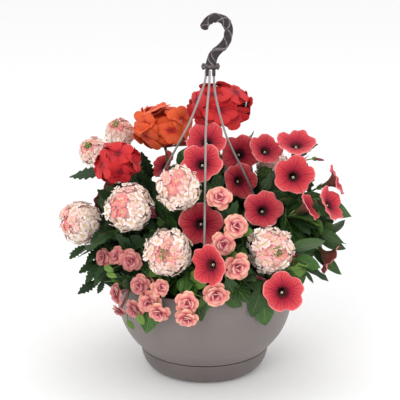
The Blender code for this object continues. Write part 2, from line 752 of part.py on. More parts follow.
def strand_line(name):
    """A smooth centre line through a strand's places."""
    places = np.array(STRANDS[name], float)
    top = places[0] + (0, 0, STRAND_TOP - places[0][2])
    places = np.concatenate((top[None], places))
    reach = np.concatenate(((0.0,), np.cumsum(np.linalg.norm(np.diff(places, axis=0), axis=1))))
    slopes = np.gradient(places, reach, axis=0)
    line = []
    for index in range(len(places) - 1):
        span = reach[index + 1] - reach[index]
        for t in (0.0, 0.5) if index % 2 else (0.0,):
            line.append((2 * t ** 3 - 3 * t ** 2 + 1) * places[index]
                        + (t ** 3 - 2 * t ** 2 + t) * span * slopes[index]
                        + (-2 * t ** 3 + 3 * t ** 2) * places[index + 1]
                        + (t ** 3 - t ** 2) * span * slopes[index + 1])
    line.append(places[-1])
    return np.array(line)


def make_hook(parts):
    """The moulded hook with its collar, and three blind sockets for the strands."""
    line = [(x, 0, z) for x, z in HOOK_LINE]
    smooth = []
    for first, second in zip(line[:-1], line[1:]):
        smooth.append(first)
        smooth.append(tuple((a + b) / 2 for a, b in zip(first, second)))
    smooth.append(line[-1])
    hook = tube_solid("hook", smooth, HOOK_RADIUS, parts, sides=2)
    for vert in hook.data.vertices:
        vert.co.y *= HOOK_FLATNESS
    x, y = COLLAR_MIDDLE
    collar = box_solid("collar", (x, y, COLLAR_TOP - COLLAR_SIZE[2] / 2), COLLAR_SIZE, parts, 1.6)
    throat = box_solid("throat", (x, y, THROAT_BOTTOM + THROAT_SIZE[2] / 2), THROAT_SIZE, parts, 1.6)
    apply_boolean(hook, [made_mesh(collar), made_mesh(throat)], "UNION")
    sockets = []
    for name in STRANDS:
        x, y, top = strand_line(name)[0]
        sockets.append(tube_solid("socket", [(x, y, top + GAP), (x, y, THROAT_BOTTOM - 3)],
                                  STRAND_RADIUS + GAP, parts, sides=2))
    apply_boolean(hook, sockets, "DIFFERENCE")
    return hook


def make_strand(name, parts):
    """A strand with the clip that straddles the bowl's rim."""
    line = strand_line(name)
    strand = tube_solid(name, line, STRAND_RADIUS, parts, sides=1)
    x, y, _ = line[-1]
    turn = math.atan2(x, -y)
    seat = RIM_RADIUS - 1.4
    clip = box_solid("clip", (seat * math.sin(turn), -seat * math.cos(turn), RIM_TOP + 0.5), CLIP_SIZE,
                     parts, 1.2, turn)
    apply_boolean(strand, [made_mesh(clip)], "UNION")
    inner, outer = RIM_RADIUS - RIM_WALL - 1.2 - GAP, RIM_RADIUS + GAP
    profile = [(inner, RIM_TOP + GAP), (outer, RIM_TOP + GAP), (outer, 118.0), (inner, 118.0),
               (inner, RIM_TOP + GAP)]
    slot = made_mesh(turned_solid("slot", profile, parts))
    shape = bmesh.new()
    shape.from_mesh(slot.data)
    bmesh.ops.remove_doubles(shape, verts=shape.verts, dist=0.00001)
    bmesh.ops.recalc_face_normals(shape, faces=shape.faces)
    shape.to_mesh(slot.data)
    shape.free()
    apply_boolean(strand, [slot], "DIFFERENCE")
    return strand


# Blooms


def petunia_rings(radius):
    """A trumpet in its own frame: throat, five-lobed waved limb, and the back of the tube."""
    around = np.arange(15) * 2 * math.pi / 15
    notch = np.where(np.arange(15) % 3 == 0, 1.0, 0.0)
    flat = np.stack((np.cos(around), np.sin(around)), axis=1)
    throat = np.column_stack((flat * 0.20 * radius, np.full(15, -0.22 * radius)))
    rim = np.column_stack((flat * (radius * (1 - 0.13 * notch))[:, None],
                           radius * (0.02 - 0.12 * notch + 0.05 * np.sin(4 * around))))
    back = np.column_stack((flat * 0.27 * radius, np.full(15, -0.36 * radius)))
    return np.array((0, 0, -0.5 * radius)), [throat, rim, back]


def double_rings(radius):
    """A double bloom in its own frame: a raised middle of short petals inside a wider waved ring."""
    around = np.arange(10) * 2 * math.pi / 10
    wave = np.where(np.arange(10) % 2 == 0, 1.0, -1.0)
    flat = np.stack((np.cos(around), np.sin(around)), axis=1)
    inner = np.column_stack((flat * (radius * (0.44 + 0.09 * wave))[:, None], radius * (0.30 - 0.05 * wave)))
    valley = np.column_stack((flat * 0.52 * radius, np.full(10, 0.06 * radius)))
    rim = np.column_stack((flat * (radius * (0.95 - 0.07 * wave))[:, None], radius * (0.06 + 0.07 * wave)))
    back = np.column_stack((flat * 0.32 * radius, np.full(10, -0.26 * radius)))
    return np.array((0, 0, 0.10 * radius)), [inner, valley, rim, back]


def head_solid(name, bloom, collection):
    """A round head: five-petalled florets over a ball, one hull whose points are then drawn in or out."""
    count, cover, width = HEADS[bloom["kind"]]
    radius = bloom["radius"]
    directions, reaches = [np.array((0.0, 0.0, -1.0))], [0.62 * radius]
    for index, out in enumerate(golden_cap(count, cover)):
        frame = axes_along(out, 1.9 * index)
        lift = 1.0 if index % 3 else 0.93
        directions.append(out)
        reaches.append(0.93 * lift * radius)
        for petal in range(5):
            for turn, spread, reach in ((0.0, 1.0, 1.0), (0.5, 0.66, 0.85)):
                around = (petal + turn) * 2 * math.pi / 5
                side = np.array((math.cos(around), math.sin(around), 0)) @ frame
                directions.append(unit(out + side * width * spread))
                reaches.append(reach * lift * radius)
    frame = axes_along(bloom["face"], bloom["spin"])
    shape = bmesh.new()
    verts = [shape.verts.new(direction) for direction in directions]
    bmesh.ops.convex_hull(shape, input=verts)
    bmesh.ops.triangulate(shape, faces=shape.faces)
    shape.normal_update()
    for face in shape.faces:
        if face.normal.dot(face.calc_center_median()) < 0:
            face.normal_flip()
    for vert, direction, reach in zip(verts, directions, reaches):
        vert.co = Vector((direction * reach) @ frame + bloom["centre"]) * MM
    mesh = bpy.data.meshes.new(name)
    shape.to_mesh(mesh)
    shape.free()
    return new_object(name, mesh, collection)


def stalk_solid(spray, length, collection):
    """The short stalk of a spray, with a level end that its stem meets."""
    line = [spray["foot"], spray["foot"] + spray["axis"] * length]
    return tube_solid("stalk", line, STALK_RADIUS, collection, sides=1)


def make_spray(name, spray, looks, parts):
    """One spray: its blooms drawn together at their feet on a short stalk, as one body."""
    solids = []
    kind = spray["blooms"][0]["kind"]
    for bloom in spray["blooms"]:
        frame = axes_along(bloom["face"], bloom["spin"])
        if kind in FOOT_DEPTH:
            start, rings = (petunia_rings if kind == "petunia" else double_rings)(bloom["radius"])
            rings = [ring @ frame + bloom["centre"] for ring in rings]
            end = spray["foot"] + spray["axis"] * (1.5 if len(spray["blooms"]) > 1 else 0.0)
            solids.append(ring_solid(name, start @ frame + bloom["centre"], rings, end, parts))
            continue
        solids.append(head_solid(name, bloom, parts))
    if len(solids) > 1 or kind not in FOOT_DEPTH:
        reach = STALK_LENGTH if kind in FOOT_DEPTH else STALK_LENGTH + 5
        solids.append(stalk_solid(spray, reach, parts))
        apply_boolean(solids[0], solids[1:], "UNION")
    return finish(solids[0], name, looks[spray_look(spray)])


def spray_look(spray):
    """The material of a spray, by its kind and its name."""
    bloom = spray["blooms"][0]
    if bloom["kind"] == "pelargonium":
        return "pelargonium_orange" if "orange" in bloom["spray"] else "pelargonium_red"
    return bloom["kind"]


# Leaves and stems


def leaf_outline(kind, size):
    """Stations along a leaf: share of its length and half its width, waved or toothed."""
    length, width, _, _, stations, tooth = LEAF_KINDS[kind]
    share = np.arange(1, stations) / stations
    half = np.sin(math.pi * share ** 0.85) ** 0.8 * 0.5 * width * size
    if tooth:
        half = half * np.where(np.arange(1, stations) % 2 == 0, 1 - tooth, 1.0)
    return share, half, length * size


def blade_solid(kind, size, base, frame, collection):
    """A pointed blade, folded along its midrib, thickest there and thin at its edge."""
    share, half, length = leaf_outline(kind, size)
    droop, fold = LEAF_KINDS[kind][2:4]
    places = [(0, 0, 0), (length, 0, -droop * length)]
    for part, wide in zip(share, half):
        sag = -droop * length * part ** 2
        rise = 0.05 * length * math.sin(9 * part)
        places += [(part * length, wide, sag + fold * wide + rise * 0.5),
                   (part * length, -wide, sag + fold * wide - rise * 0.5),
                   (part * length, 0, sag), (part * length, 0, sag - BLADE_THICKNESS)]
    faces = []
    for top, order in ((2, 1), (3, -1)):
        for side in (0, 1):
            flip = order * (1 if side == 0 else -1)
            rows = [2 + 4 * index for index in range(len(share))]
            faces.append((0, rows[0] + top, rows[0] + side)[::flip])
            for low, high in zip(rows[:-1], rows[1:]):
                faces.append((low + side, low + top, high + top)[::flip])
                faces.append((low + side, high + top, high + side)[::flip])
            faces.append((rows[-1] + side, rows[-1] + top, 1)[::flip])
    world = np.array(places) @ frame + base
    return new_object("leaf", mesh_of("leaf", world, faces), collection)


def round_leaf_solid(size, base, frame, collection):
    """A round scalloped leaf, drawn to its stem at one side."""
    _, width, _, _, count, tooth = LEAF_KINDS["pelargonium"]
    radius = 0.5 * width * size
    middle = np.array((radius, 0, 0))
    around = math.pi + np.arange(count) * 2 * math.pi / count
    reach = radius * np.where(np.arange(count) % 2 == 1, 1.06, 1.06 - tooth)
    reach[0] = radius
    wave = 0.12 * radius * np.sin(3 * (around - math.pi))
    ring = np.column_stack((np.cos(around) * reach, np.sin(around) * reach, wave)) + middle
    start = (middle + (0, 0, -0.16 * radius)) @ frame + base
    end = (middle + (0, 0, -0.16 * radius - BLADE_THICKNESS)) @ frame + base
    return ring_solid("leaf", start, [ring @ frame + base], end, collection)


def make_plant(name, sector, plant, look, parts):
    """One plant's green parts: its stems from one crown in the soil, with their leaves, as one body."""
    root = root_of(sector)
    crown = [(root[0], root[1], root[2] + high) for high in (GAP - HOLE_DEPTH, -1.0)]
    solids = [tube_solid(name, crown, CROWN_RADIUS, parts, sides=1)]
    for line in plant["stems"]:
        solids.append(tube_solid("stem", line, STEM_RADIUS, parts))
    for kind, size, base, frame in plant["leaves"]:
        if kind == "pelargonium":
            solids.append(round_leaf_solid(size, base, frame, parts))
        else:
            solids.append(blade_solid(kind, size, base, frame, parts))
    apply_boolean(solids[0], solids[1:], "UNION")
    return finish(solids[0], name, look)


def main():
    """Clear the scene and model the basket."""
    for thing in list(bpy.data.objects):
        bpy.data.objects.remove(thing)
    parts = bpy.data.collections.new("flowering_hanging_basket")
    bpy.context.scene.collection.children.link(parts)
    looks = {
        "bowl": material("taupe_plastic", "8B8280", 0.45),
        "saucer": material("dark_taupe_plastic", "6E6563", 0.5),
        "soil": material("soil", "3A2A20", 0.95),
        "hook": material("hook_plastic", "6E6465", 0.5),
        "strand": material("strand_plastic", "8A8380", 0.45),
        "petunia": material("petunia_coral", "E0444A", 0.6),
        "double": material("calibrachoa_peach", "EE9080", 0.6),
        "verbena": material("verbena_cream_pink", "F6C3B8", 0.6),
        "pelargonium_red": material("pelargonium_red", "D9302F", 0.6),
        "pelargonium_orange": material("pelargonium_orange", "E8612C", 0.6),
        "green": material("leaf_green", "3E6B33", 0.5),
    }
    bowl = make_shell("bowl", BOWL_OUTSIDE, BOWL_INSIDE, parts)
    finish(bowl, "bowl", looks["bowl"], smooth=True)
    saucer = make_shell("saucer", SAUCER_OUTSIDE, SAUCER_INSIDE, parts)
    finish(saucer, "saucer", looks["saucer"], smooth=True)
    finish(make_soil(parts), "soil", looks["soil"])
    finish(make_hook(parts), "hook", looks["hook"])
    for name in STRANDS:
        finish(make_strand(name, parts), name, looks["strand"])
    sprays, plants = planting()
    for name, spray in sprays.items():
        make_spray(name, spray, looks, parts)
    for sector, plant in plants.items():
        name = "leafy_stems_middle" if sector == SECTORS else "leafy_stems_" + SECTOR_NAMES[sector]
        make_plant(name, sector, plant, looks["green"], parts)
    seat = bpy.data.objects.new("hook_seat", None)
    parts.objects.link(seat)
    seat.location = Vector(HOOK_SEAT) * -MM
    for thing in parts.objects:
        if thing != seat:
            thing.parent = seat


main()
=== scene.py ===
"""Looks for a flowering hanging basket: a taupe plastic bowl on a clip-on saucer, three strands and a moulded
hook, planted with zonal pelargonium, petunia, verbena and double calibrachoa.

Lay-out values are millimetres in the bowl's own frame: the saucer's underside is z = 0, the bowl's axis is
x = y = 0 and the front is -Y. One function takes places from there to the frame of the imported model, in
metres. Where each bloom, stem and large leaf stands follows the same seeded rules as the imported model, so
that each finer piece lies where its solid is.
"""
import json
import math

import bpy
import mathutils
import numpy as np
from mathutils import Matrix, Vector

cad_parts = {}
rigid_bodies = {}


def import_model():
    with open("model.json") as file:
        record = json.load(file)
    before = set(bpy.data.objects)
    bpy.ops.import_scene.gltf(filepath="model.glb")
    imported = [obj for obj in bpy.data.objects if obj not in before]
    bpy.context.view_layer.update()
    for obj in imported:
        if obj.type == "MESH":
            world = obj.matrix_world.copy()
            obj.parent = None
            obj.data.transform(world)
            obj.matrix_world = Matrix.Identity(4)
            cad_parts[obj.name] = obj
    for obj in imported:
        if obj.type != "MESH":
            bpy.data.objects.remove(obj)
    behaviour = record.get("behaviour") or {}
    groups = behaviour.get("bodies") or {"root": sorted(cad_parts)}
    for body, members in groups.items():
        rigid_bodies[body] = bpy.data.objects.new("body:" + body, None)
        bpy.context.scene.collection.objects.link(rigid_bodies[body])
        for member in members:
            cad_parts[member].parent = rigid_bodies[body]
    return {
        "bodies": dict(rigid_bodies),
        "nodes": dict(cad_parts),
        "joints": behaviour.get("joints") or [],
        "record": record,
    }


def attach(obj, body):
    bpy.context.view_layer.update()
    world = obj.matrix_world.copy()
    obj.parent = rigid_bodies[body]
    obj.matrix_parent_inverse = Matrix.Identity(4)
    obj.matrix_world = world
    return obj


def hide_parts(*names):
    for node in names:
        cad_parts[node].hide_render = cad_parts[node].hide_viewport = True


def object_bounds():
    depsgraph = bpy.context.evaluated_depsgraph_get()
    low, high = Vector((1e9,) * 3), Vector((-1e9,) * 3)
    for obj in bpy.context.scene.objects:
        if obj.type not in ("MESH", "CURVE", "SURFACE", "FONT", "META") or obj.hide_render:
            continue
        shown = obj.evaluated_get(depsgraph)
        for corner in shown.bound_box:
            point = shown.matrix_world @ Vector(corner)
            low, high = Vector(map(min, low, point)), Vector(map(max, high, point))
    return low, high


bl_info = {
    "name": "Flowering hanging basket",
    "version": (1, 0, 0),
    "blender": (4, 5, 0),
    "location": "View3D > Sidebar > Basket",
    "description": "Dresses the packed solids of a flowering hanging basket with finished pieces",
    "category": "Object",
}

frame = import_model()
CAD_BOX = [list(corner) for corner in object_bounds()]

MM = 0.001
GAP = 0.4

# Bowl, saucer and soil; the bowl's turned profiles are places (out, high) from the bottom up
RIM_TOP = 137.0
SAUCER_TOP = 30.6
BOWL_OUTSIDE = ((88.5, 34), (100.5, 47), (109.5, 61), (116.5, 80), (121, 105), (122.5, 119))
BOWL_INSIDE = ((106, 62), (113.5, 80), (119, 116))
RIM_RADIUS = 125.0
RIM_WALL = 2.8
# Half the rim's thickness, as leaves and blooms keep clear of it
RIM_HALF = 1.5
SOIL_TOP = 126.0
SOIL_CROWN = 129.0
SOIL_GAP = 0.6
HOLE_DEPTH = 15.0

# Hook: centre line in the plane y = 0 (across, high), its band, the seat of its crook, which is the packed
# model's origin, then the collar and throat under it
HOOK_LINE = ((-2.2, 462.4), (1.7, 471.4), (8.1, 476.7), (15.1, 477.8), (23.5, 475.2), (29.5, 468.8),
             (31.3, 460.4), (29.4, 450.1), (23.0, 440.4), (13.3, 431.9), (8.8, 422.8), (7.5, 413.7))
HOOK_RADIUS = 6.2
HOOK_FLATNESS = 0.72
HOOK_SEAT = (15.4, 0.0, 471.6)
COLLAR_MIDDLE = (7.4, 0.0)
COLLAR_SIZE = (22.0, 15.0, 9.0)
COLLAR_TOP = 419.0
THROAT_BOTTOM = 402.0

# Strands: places down each one, from its socket in the hook to its clip on the rim
STRAND_RADIUS = 1.5
STRAND_PLACES = 70
STRAND_TOP = 409.0
STRANDS = {
    "strand_front": ((6.1, -3, 397), (3.0, -18, 365), (1.2, -31, 338), (0.8, -46, 307), (0.1, -64, 267),
                     (-0.4, -86, 221), (-1.0, -97, 196), (-0.5, -115, 160), (0, -123, 143)),
    "strand_left": ((1.3, 1.5, 401), (-4.5, 6, 378), (-17.6, 15, 342), (-37, 24, 302), (-57.9, 34, 261),
                    (-68.7, 40, 233), (-88, 51, 185), (-106.5, 61.5, 143)),
    "strand_right": ((11.8, 1.5, 401), (13.0, 6, 380), (17.8, 11, 356), (32.4, 23, 307), (54.7, 34, 260),
                     (69.5, 41, 225), (88, 51, 185), (106.5, 61.5, 143)),
}
# A strand's clip: its size, and for each cheek how far out it stands and how thick it is
CLIP_SIZE = (12.0, 9.0, 11.0)
CLIP_CHEEKS = ((RIM_RADIUS + 1.75, 2.4), (RIM_RADIUS - RIM_WALL - 3.2, 2.6))

# Where the photograph was taken from
EYE = np.array((0.0, -1600.0, 696.0))
# Blooms that show from the front: kind, spray, across, deep, high, turn and lift of the face, width
SEEN_BLOOMS = (
    ("petunia", "petunia_crown", 2, 2, 317, -5, 25, 56),
    ("petunia", "petunia_crown_front", -5, -30, 294, -5, 15, 56),
    ("petunia", "petunia_high_right", 49, 66, 282, 10, 20, 56),
    ("petunia", "petunia_inner_right", 50, 34, 252, 45, 10, 52),
    ("petunia", "petunia_high_right", 80, 60, 289, 20, 45, 50),
    ("petunia", "petunia_right_inner", 77, -30, 231, 15, 12, 54),
    ("petunia", "petunia_right_upper", 118, -12, 277, 10, 10, 56),
    ("petunia", "petunia_right_top", 123, 24, 306, 10, 55, 56),
    ("petunia", "petunia_far_right", 178, 5, 261, 85, 25, 44),
    ("petunia", "petunia_right_outer", 168, -30, 239, 40, 5, 50),
    ("petunia", "petunia_right_side", 138, -44, 240, 80, 30, 44),
    ("petunia", "petunia_low_right", 170, -15, 156, 85, -30, 46),
    ("petunia", "petunia_front", -5, -64, 220, 0, 5, 58),
    ("petunia", "petunia_front_low", 3, -138, 188, -30, 0, 54),
    ("petunia", "petunia_low_inner_right", 98, -118, 147, 15, 12, 54),
    ("petunia", "petunia_left_upper", -57, 58, 270, -95, 25, 46),
    ("double", "double_front_upper", 39, -106, 231, 15, 15, 34),
    ("double", "double_front_upper", 23, -118, 211, 5, 5, 33),
    ("double", "double_front_top", 18, -76, 259, 5, 35, 33),
    ("double", "double_front_right", 41, -136, 187, 15, 0, 35),
    ("double", "double_front_right", 13, -150, 155, 5, -10, 35),
    ("double", "double_front_left", -22, -152, 145, -5, 5, 31),
    ("double", "double_front_left", -23, -156, 126, -5, -25, 31),
    ("double", "double_low_left", -69, -132, 138, -20, 0, 31),
    ("double", "double_low_left", -58, -140, 127, -15, -20, 29),
    ("double", "double_low_left", -90, -118, 123, -35, -15, 29),
    ("double", "double_left_front", -56, -128, 156, 30, 20, 25),
    ("double", "double_left_front", -83, -112, 154, -20, 10, 28),
    ("double", "double_left_low", -113, -95, 136, -60, 0, 29),
    ("double", "double_left_low", -111, -92, 112, -50, -40, 22),
    ("double", "double_left", -132, -68, 176, -40, 15, 26),
    ("double", "double_left", -113, -80, 182, -30, 30, 26),
    ("double", "double_left", -95, -92, 180, -10, 10, 30),
    ("verbena", "verbena_far_left", -164, -15, 207, -50, 15, 62),
    ("verbena", "verbena_left", -98, -50, 238, -25, 20, 66),
    ("verbena", "verbena_middle", -34, -64, 268, -10, 25, 60),
    ("verbena", "verbena_front", -46, -114, 198, -10, 15, 64),
    ("verbena", "verbena_front_right", 84, -92, 194, 15, 15, 62),
    ("verbena", "verbena_upper_left", -149, 30, 293, -30, 40, 44),
    ("verbena", "verbena_back_left", -118, 96, 303, -20, 55, 46),
    ("pelargonium", "pelargonium_crown", 21, 62, 349, 0, 70, 92),
    ("pelargonium", "pelargonium_orange", -57, 64, 320, -20, 65, 88),
    ("pelargonium", "pelargonium_left", -116, 0, 285, -45, 45, 76),
)
# Blooms of the side away from the front, in rings round the axis: kind, first and last turn, count, how
# far out, how high, lift of the face, width
HIDDEN_RINGS = (
    ("petunia", 110, 250, 4, 150, 214, 15, 54),
    ("petunia", 128, 228, 2, 146, 160, -10, 54),
    ("double", 98, 252, 3, 148, 156, -5, 34),
    ("verbena", 133, 227, 3, 120, 260, 30, 60),
)
# Large leaves on a stem that bears blooms, and on a leafy shoot
SPRAY_LEAVES = 3
SHOOT_LEAVES = 5
# Leafy shoots with no bloom: turn round the axis, how far out, how high their tips are
SHOOTS = (
    (12, 140, 150), (30, 146, 154), (57, 152, 168), (80, 160, 190), (68, 138, 238), (104, 150, 172),
    (150, 142, 150), (178, 146, 176), (208, 142, 150), (262, 148, 160), (278, 156, 172), (292, 152, 190),
    (306, 146, 158), (268, 148, 236), (316, 112, 240), (196, 120, 232),
)

# Settling the blooms: rounds at most, steps from a strand or the pot, apart on the hidden side and along the
# line of sight, how far apart middles are still compared, and the room from a bloom, a strand and the pot
SETTLE_ROUNDS = 300
SETTLE_STEP = 0.6
APART_STEP = 0.7
SLIDE_STEP = 0.5
SETTLE_REACH = 110
BLOOM_SPACE = 1.8
STRAND_SPACE = 1.5
POT_SPACE = 2

# Plants: the middle one stands inside a widening cone, the others each in a sector of 60 degrees
SECTORS = 6
SECTOR_NAMES = ("front_right", "right", "back_right", "back_left", "left", "front_left")
CORE_RADIUS = 44.0
CORE_FROM = 190.0
CORE_SPREAD = 0.55
# Room from another plant's ground, where the roots stand, and how thick, wide and deep the crowns are
BORDER = 2.6
ROOT_RING = 66.0
ROOT_MIDDLE = (0.0, 12.0)
CROWN_RADIUS = 5.0
CROWN_SPREAD = 2.4
ROOT_DEPTH = 6.0
# Stems: thickness, places along one, tries for each, and how far one may come short of its room
STEM_RADIUS = 1.7
FINE_PLACES = 26
STEM_TRIES = 500
MARGIN_SHARE = 0.8
# Random values of a stem, each its least and how much more: its rise from the root, where on another stem
# it starts and its rise there, the pull at its foot and where its curve ends; then how far later tries lean
ROOT_RISE = (30.0, 70)
BRANCH_START = (0.3, 0.4)
BRANCH_RISE = (10, 16)
FOOT_PULL = (22, 18)
CURVE_END = (4, 3)
STEM_LEAN = 30
# The shortest stem, how much longer than straight one may be, and the lengths that take one more place each
SHORTEST_STEM = 30
STEM_DETOUR = 1.5
LONG_STEMS = (70, 120)
# Large leaves: tries for each, the room between two and from the own stem, how far one starts from its stem,
# its room from blooms, the last one's share of the stem, and how near another leaf counts
LEAF_TRIES = 34
LEAF_SPACE = 5.5
OWN_STEM_SPACE = 4.0
LEAF_SEAT = 0.9
LEAF_MARGIN = 4.0
LAST_LEAF = 0.985
LEAF_NEAR = 60.0
# Random values of a large leaf: its size and its tilt from the stem in degrees, each its least and how much
# more; how loosely its upper side faces outward and its roll; the least outward it may point, and what
# pointing outward is worth in millimetres of distance
LEAF_SIZE = (0.8, 0.35)
LEAF_TILT = (25, 60)
LEAF_LOOSE = 0.35
LEAF_ROLL = 0.3
LEAST_OUTWARD = -0.15
OUTWARD_WORTH = 12
# Leaves point away from the axis, and up or down by this much for each millimetre above this height
OUTWARD_RISE = 0.9
OUTWARD_FROM = 120
# What a search for the best starts from, the random draws' seed, and what a random phase runs to in radians
NONE_YET = -1e9
SEED = 5
PHASES = 6

# How far a bloom's foot lies behind its face, and how long a head's own stalk is
FOOT_DEPTH = {"petunia": 31.0, "double": 21.0}
STALK_LENGTH = 8.0
# Leaves at size one: length, width and droop
LEAF_KINDS = {"petunia": (54.0, 34.0, 0.10), "verbena": (52.0, 27.0, 0.08), "pelargonium": (50.0, 50.0, 0.05)}
# Pelargonium leaves grow this near the axis and this high; verbena leaves between two turns to the left, in
# degrees; and of the rest this share is petunia's
CROWN_LEAVES = (60, 230)
VERBENA_TURNS = (-150, -38)
PETUNIA_SHARE = 0.72

# Finer shapes: turns round turned surfaces, how high the bowl's cove line runs, and along the hook its band's
# half widths, turns and twigs; then the throat's tabs: where across, how thick
LATHE_TURNS = 128
SOIL_TURNS = 180
SOIL_RINGS = 64
COVE_LINE = 112.0
HOOK_WIDTHS = (5.6, 6.0, 6.2, 6.2, 6.2, 6.2, 6.0, 5.8, 6.0, 6.4, 7.0, 7.6)
HOOK_TURNS = 72
HOOK_STEP = 0.6
TWIG_PITCH = 34.0
TWIG_HEIGHT = 1.3
THROAT_TABS = ((3.4, 4.6), (11.6, 4.6))

# A petunia at radius one: turns round it, the places out over its face from the throat to the rim, how deep
# the face is, and how wide its throat
PETUNIA_TURNS = 60
PETUNIA_OUT = (0.05, 0.10, 0.15, 0.20, 0.25, 0.31, 0.38, 0.46, 0.56, 0.66, 0.76, 0.85, 0.92, 0.97, 1.0)
FACE_DEPTH = 0.46
THROAT_RADIUS = 0.26
# Petals of a floret, then the forms of petals and leaves: see blades()
PETALS = 5
SEPAL = {"rings": 3, "columns": 6, "lean": 0.9, "blunt": 0.8, "thick": 0.8, "sag": 0.12}
RUFFLED = {"rings": 7, "columns": 14, "lean": 1.6, "blunt": 0.5, "thick": 0.6, "crowd": 1.6, "notch": 0.05,
           "sag": -0.16, "ruffle": 0.10, "waves": 3.4, "curl": 0.10}
NOTCHED = {"rings": 4, "columns": 8, "lean": 2.0, "blunt": 0.65, "thick": 0.45, "crowd": 1.5, "notch": 0.28,
           "curl": 0.10, "sag": -0.14}
ROUND_PETAL = {"rings": 8, "columns": 14, "lean": 1.5, "blunt": 0.5, "thick": 0.6, "crowd": 1.6,
               "sag": -0.22, "curl": -0.12, "ruffle": 0.06, "waves": 3.0}
LEAF_STYLES = {
    "petunia": {"rings": 9, "columns": 8, "lean": 0.85, "blunt": 0.8, "thick": 0.7, "sag": -0.10,
                "fold": 0.14, "ruffle": 0.05, "waves": 2.5},
    "verbena": {"rings": 11, "columns": 8, "lean": 0.85, "blunt": 0.8, "thick": 0.7, "tooth": 0.42,
                "sag": -0.08, "fold": 0.10, "ruffle": 0.04, "waves": 2.0},
    "pelargonium": {"rings": 10, "columns": 10, "lean": 1.0, "blunt": 0.5, "thick": 0.7, "tooth": 0.08,
                    "sag": -0.05, "fold": 0.10, "ruffle": 0.08, "waves": 3.0},
}
# The small added leaves have fewer faces, and faces that meet more sharply than this show an edge
COARSE_RINGS = 5
COARSE_COLUMNS = 8
SHARP_FROM = math.radians(76)
# Sepals: how many, and their length on each kind
SEPALS = 5
SEPAL_LENGTH = {"petunia": 12.0, "double": 8.0, "bud": 7.0}

# Double blooms' whorls: petals, length and width at radius one, lift in degrees, height of the base
DOUBLE_WHORLS = ((5, 1.0, 0.96, 4, -0.04), (5, 0.80, 0.80, 22, 0.01), (3, 0.62, 0.66, 46, 0.03),
                 (3, 0.44, 0.50, 68, 0.02))
# Painted shade darkens the doubles to the left: how much at most, from where across, and over how far
LEFT_SHADE = 0.5
LEFT_SHADE_FROM = -50.0
LEFT_SHADE_OVER = 40
# Verbena heads: a floret's reach, how densely florets stand, two layers: share of the density, how sunk as a
# share of the radius and the petals' lift in radians; degrees from the top that they cover, on hidden heads
# fewer; the crown left bare in radians, the radius of a small head, its florets' size, and crowns with buds
FLORET_RADIUS = 7.3
VERBENA_DENSITY = 3.0
VERBENA_LAYERS = ((1.0, 0.05, 0.06), (0.8, 0.16, 0.12))
VERBENA_COVER = 125
VERBENA_COVER_HIDDEN = 104
VERBENA_CROWN = 0.15
SMALL_HEAD = 26
SMALL_FLORET = 0.8
GREEN_CROWNS = ("verbena_front", "verbena_front_right", "verbena_upper_left", "verbena_back_left")
# Petunias turned and lifted further than their solids, in degrees
PETUNIAS_TURNED = {
    "petunia_crown": (0, 22), "petunia_crown_front": (-6, 22), "petunia_high_right": (0, 4),
    "petunia_inner_right": (-14, 12), "petunia_right_inner": (-8, 26), "petunia_right_upper": (-6, 26),
    "petunia_right_top": (-10, 14), "petunia_right_outer": (22, 26), "petunia_front": (0, 12),
    "petunia_front_low": (-12, 10), "petunia_low_inner_right": (-4, 12), "petunia_left_upper": (32, 16),
}
# No face is lifted more steeply than this, in degrees
STEEPEST_FACE = 88
# How far a petunia's face stands from its solid's; _2 is a spray's bloom of less than the radius below
PETUNIAS_MOVED = {"petunia_front_low": (0, 4, 0), "petunia_left_upper": (-2, -12, 2),
                  "petunia_right_upper": (0, 0, -4), "petunia_right_top": (0, 4, 3),
                  "petunia_high_right": (0, -12, 3), "petunia_high_right_2": (5, 0, 2)}
SMALL_PETUNIA = 26
# A pelargonium head's layers: more florets than the outer one has, degrees from the top that they cover, how
# sunk as a share of the radius, size, and the petals' lift in radians
PELARGONIUM_LAYERS = ((0, 118, 0.16, 1.0, 0.12), (2, 128, 0.34, 0.95, 0.40))
# Pelargonium heads: florets of the outer layer, a petal's length at radius one, the lift of the middle
# floret in degrees, and the head's stretch
PELARGONIUM_FORM = {"pelargonium_crown": (12, 0.52, 35, (0.98, 0.94, 0.70)),
                    "pelargonium_orange": (10, 0.55, 28, (1.06, 0.97, 0.76)),
                    "pelargonium_left": (8, 0.62, 30, (0.84, 0.9, 0.74))}

# Balls that leaves keep clear of on a petunia's turned face: their radius, then how far out each ring of them
# lies at radius one and how many it has
FACE_BALL = 3.2
FACE_RINGS = ((0.35, 7), (0.65, 14), (0.92, 21))
# Added leaves: tries a stem, the space between middles at size one, the longest stalk and what share have
# one, the room from blooms and pot, what share are young tips, and from which place along a stem
FILL_TRIES = 110
FILL_SPACE = 11.5
FILL_STALK = 24.0
STALKED_SHARE = 0.6
FILL_ROOM = 1.2
YOUNG_SHARE = 0.22
YOUNG_FROM = 17
# They point along the stem, to a random side and outward, in these shares; their least size when young and
# when not, how much more, and a pelargonium leaf's share of that
FILL_POINTS = (0.45, 0.75, 0.55)
YOUNG_SIZE = 0.38
FILL_SIZE = 0.62
FILL_MORE = 0.38
PELARGONIUM_SIZE = 0.75
# Sizes that a large leaf is cut to in turn, and the room that it must then have
TRIMMED_SIZES = (1.0, 0.85, 0.7, 0.55, 0.4)
TRIMMED_ROOM = 0.3
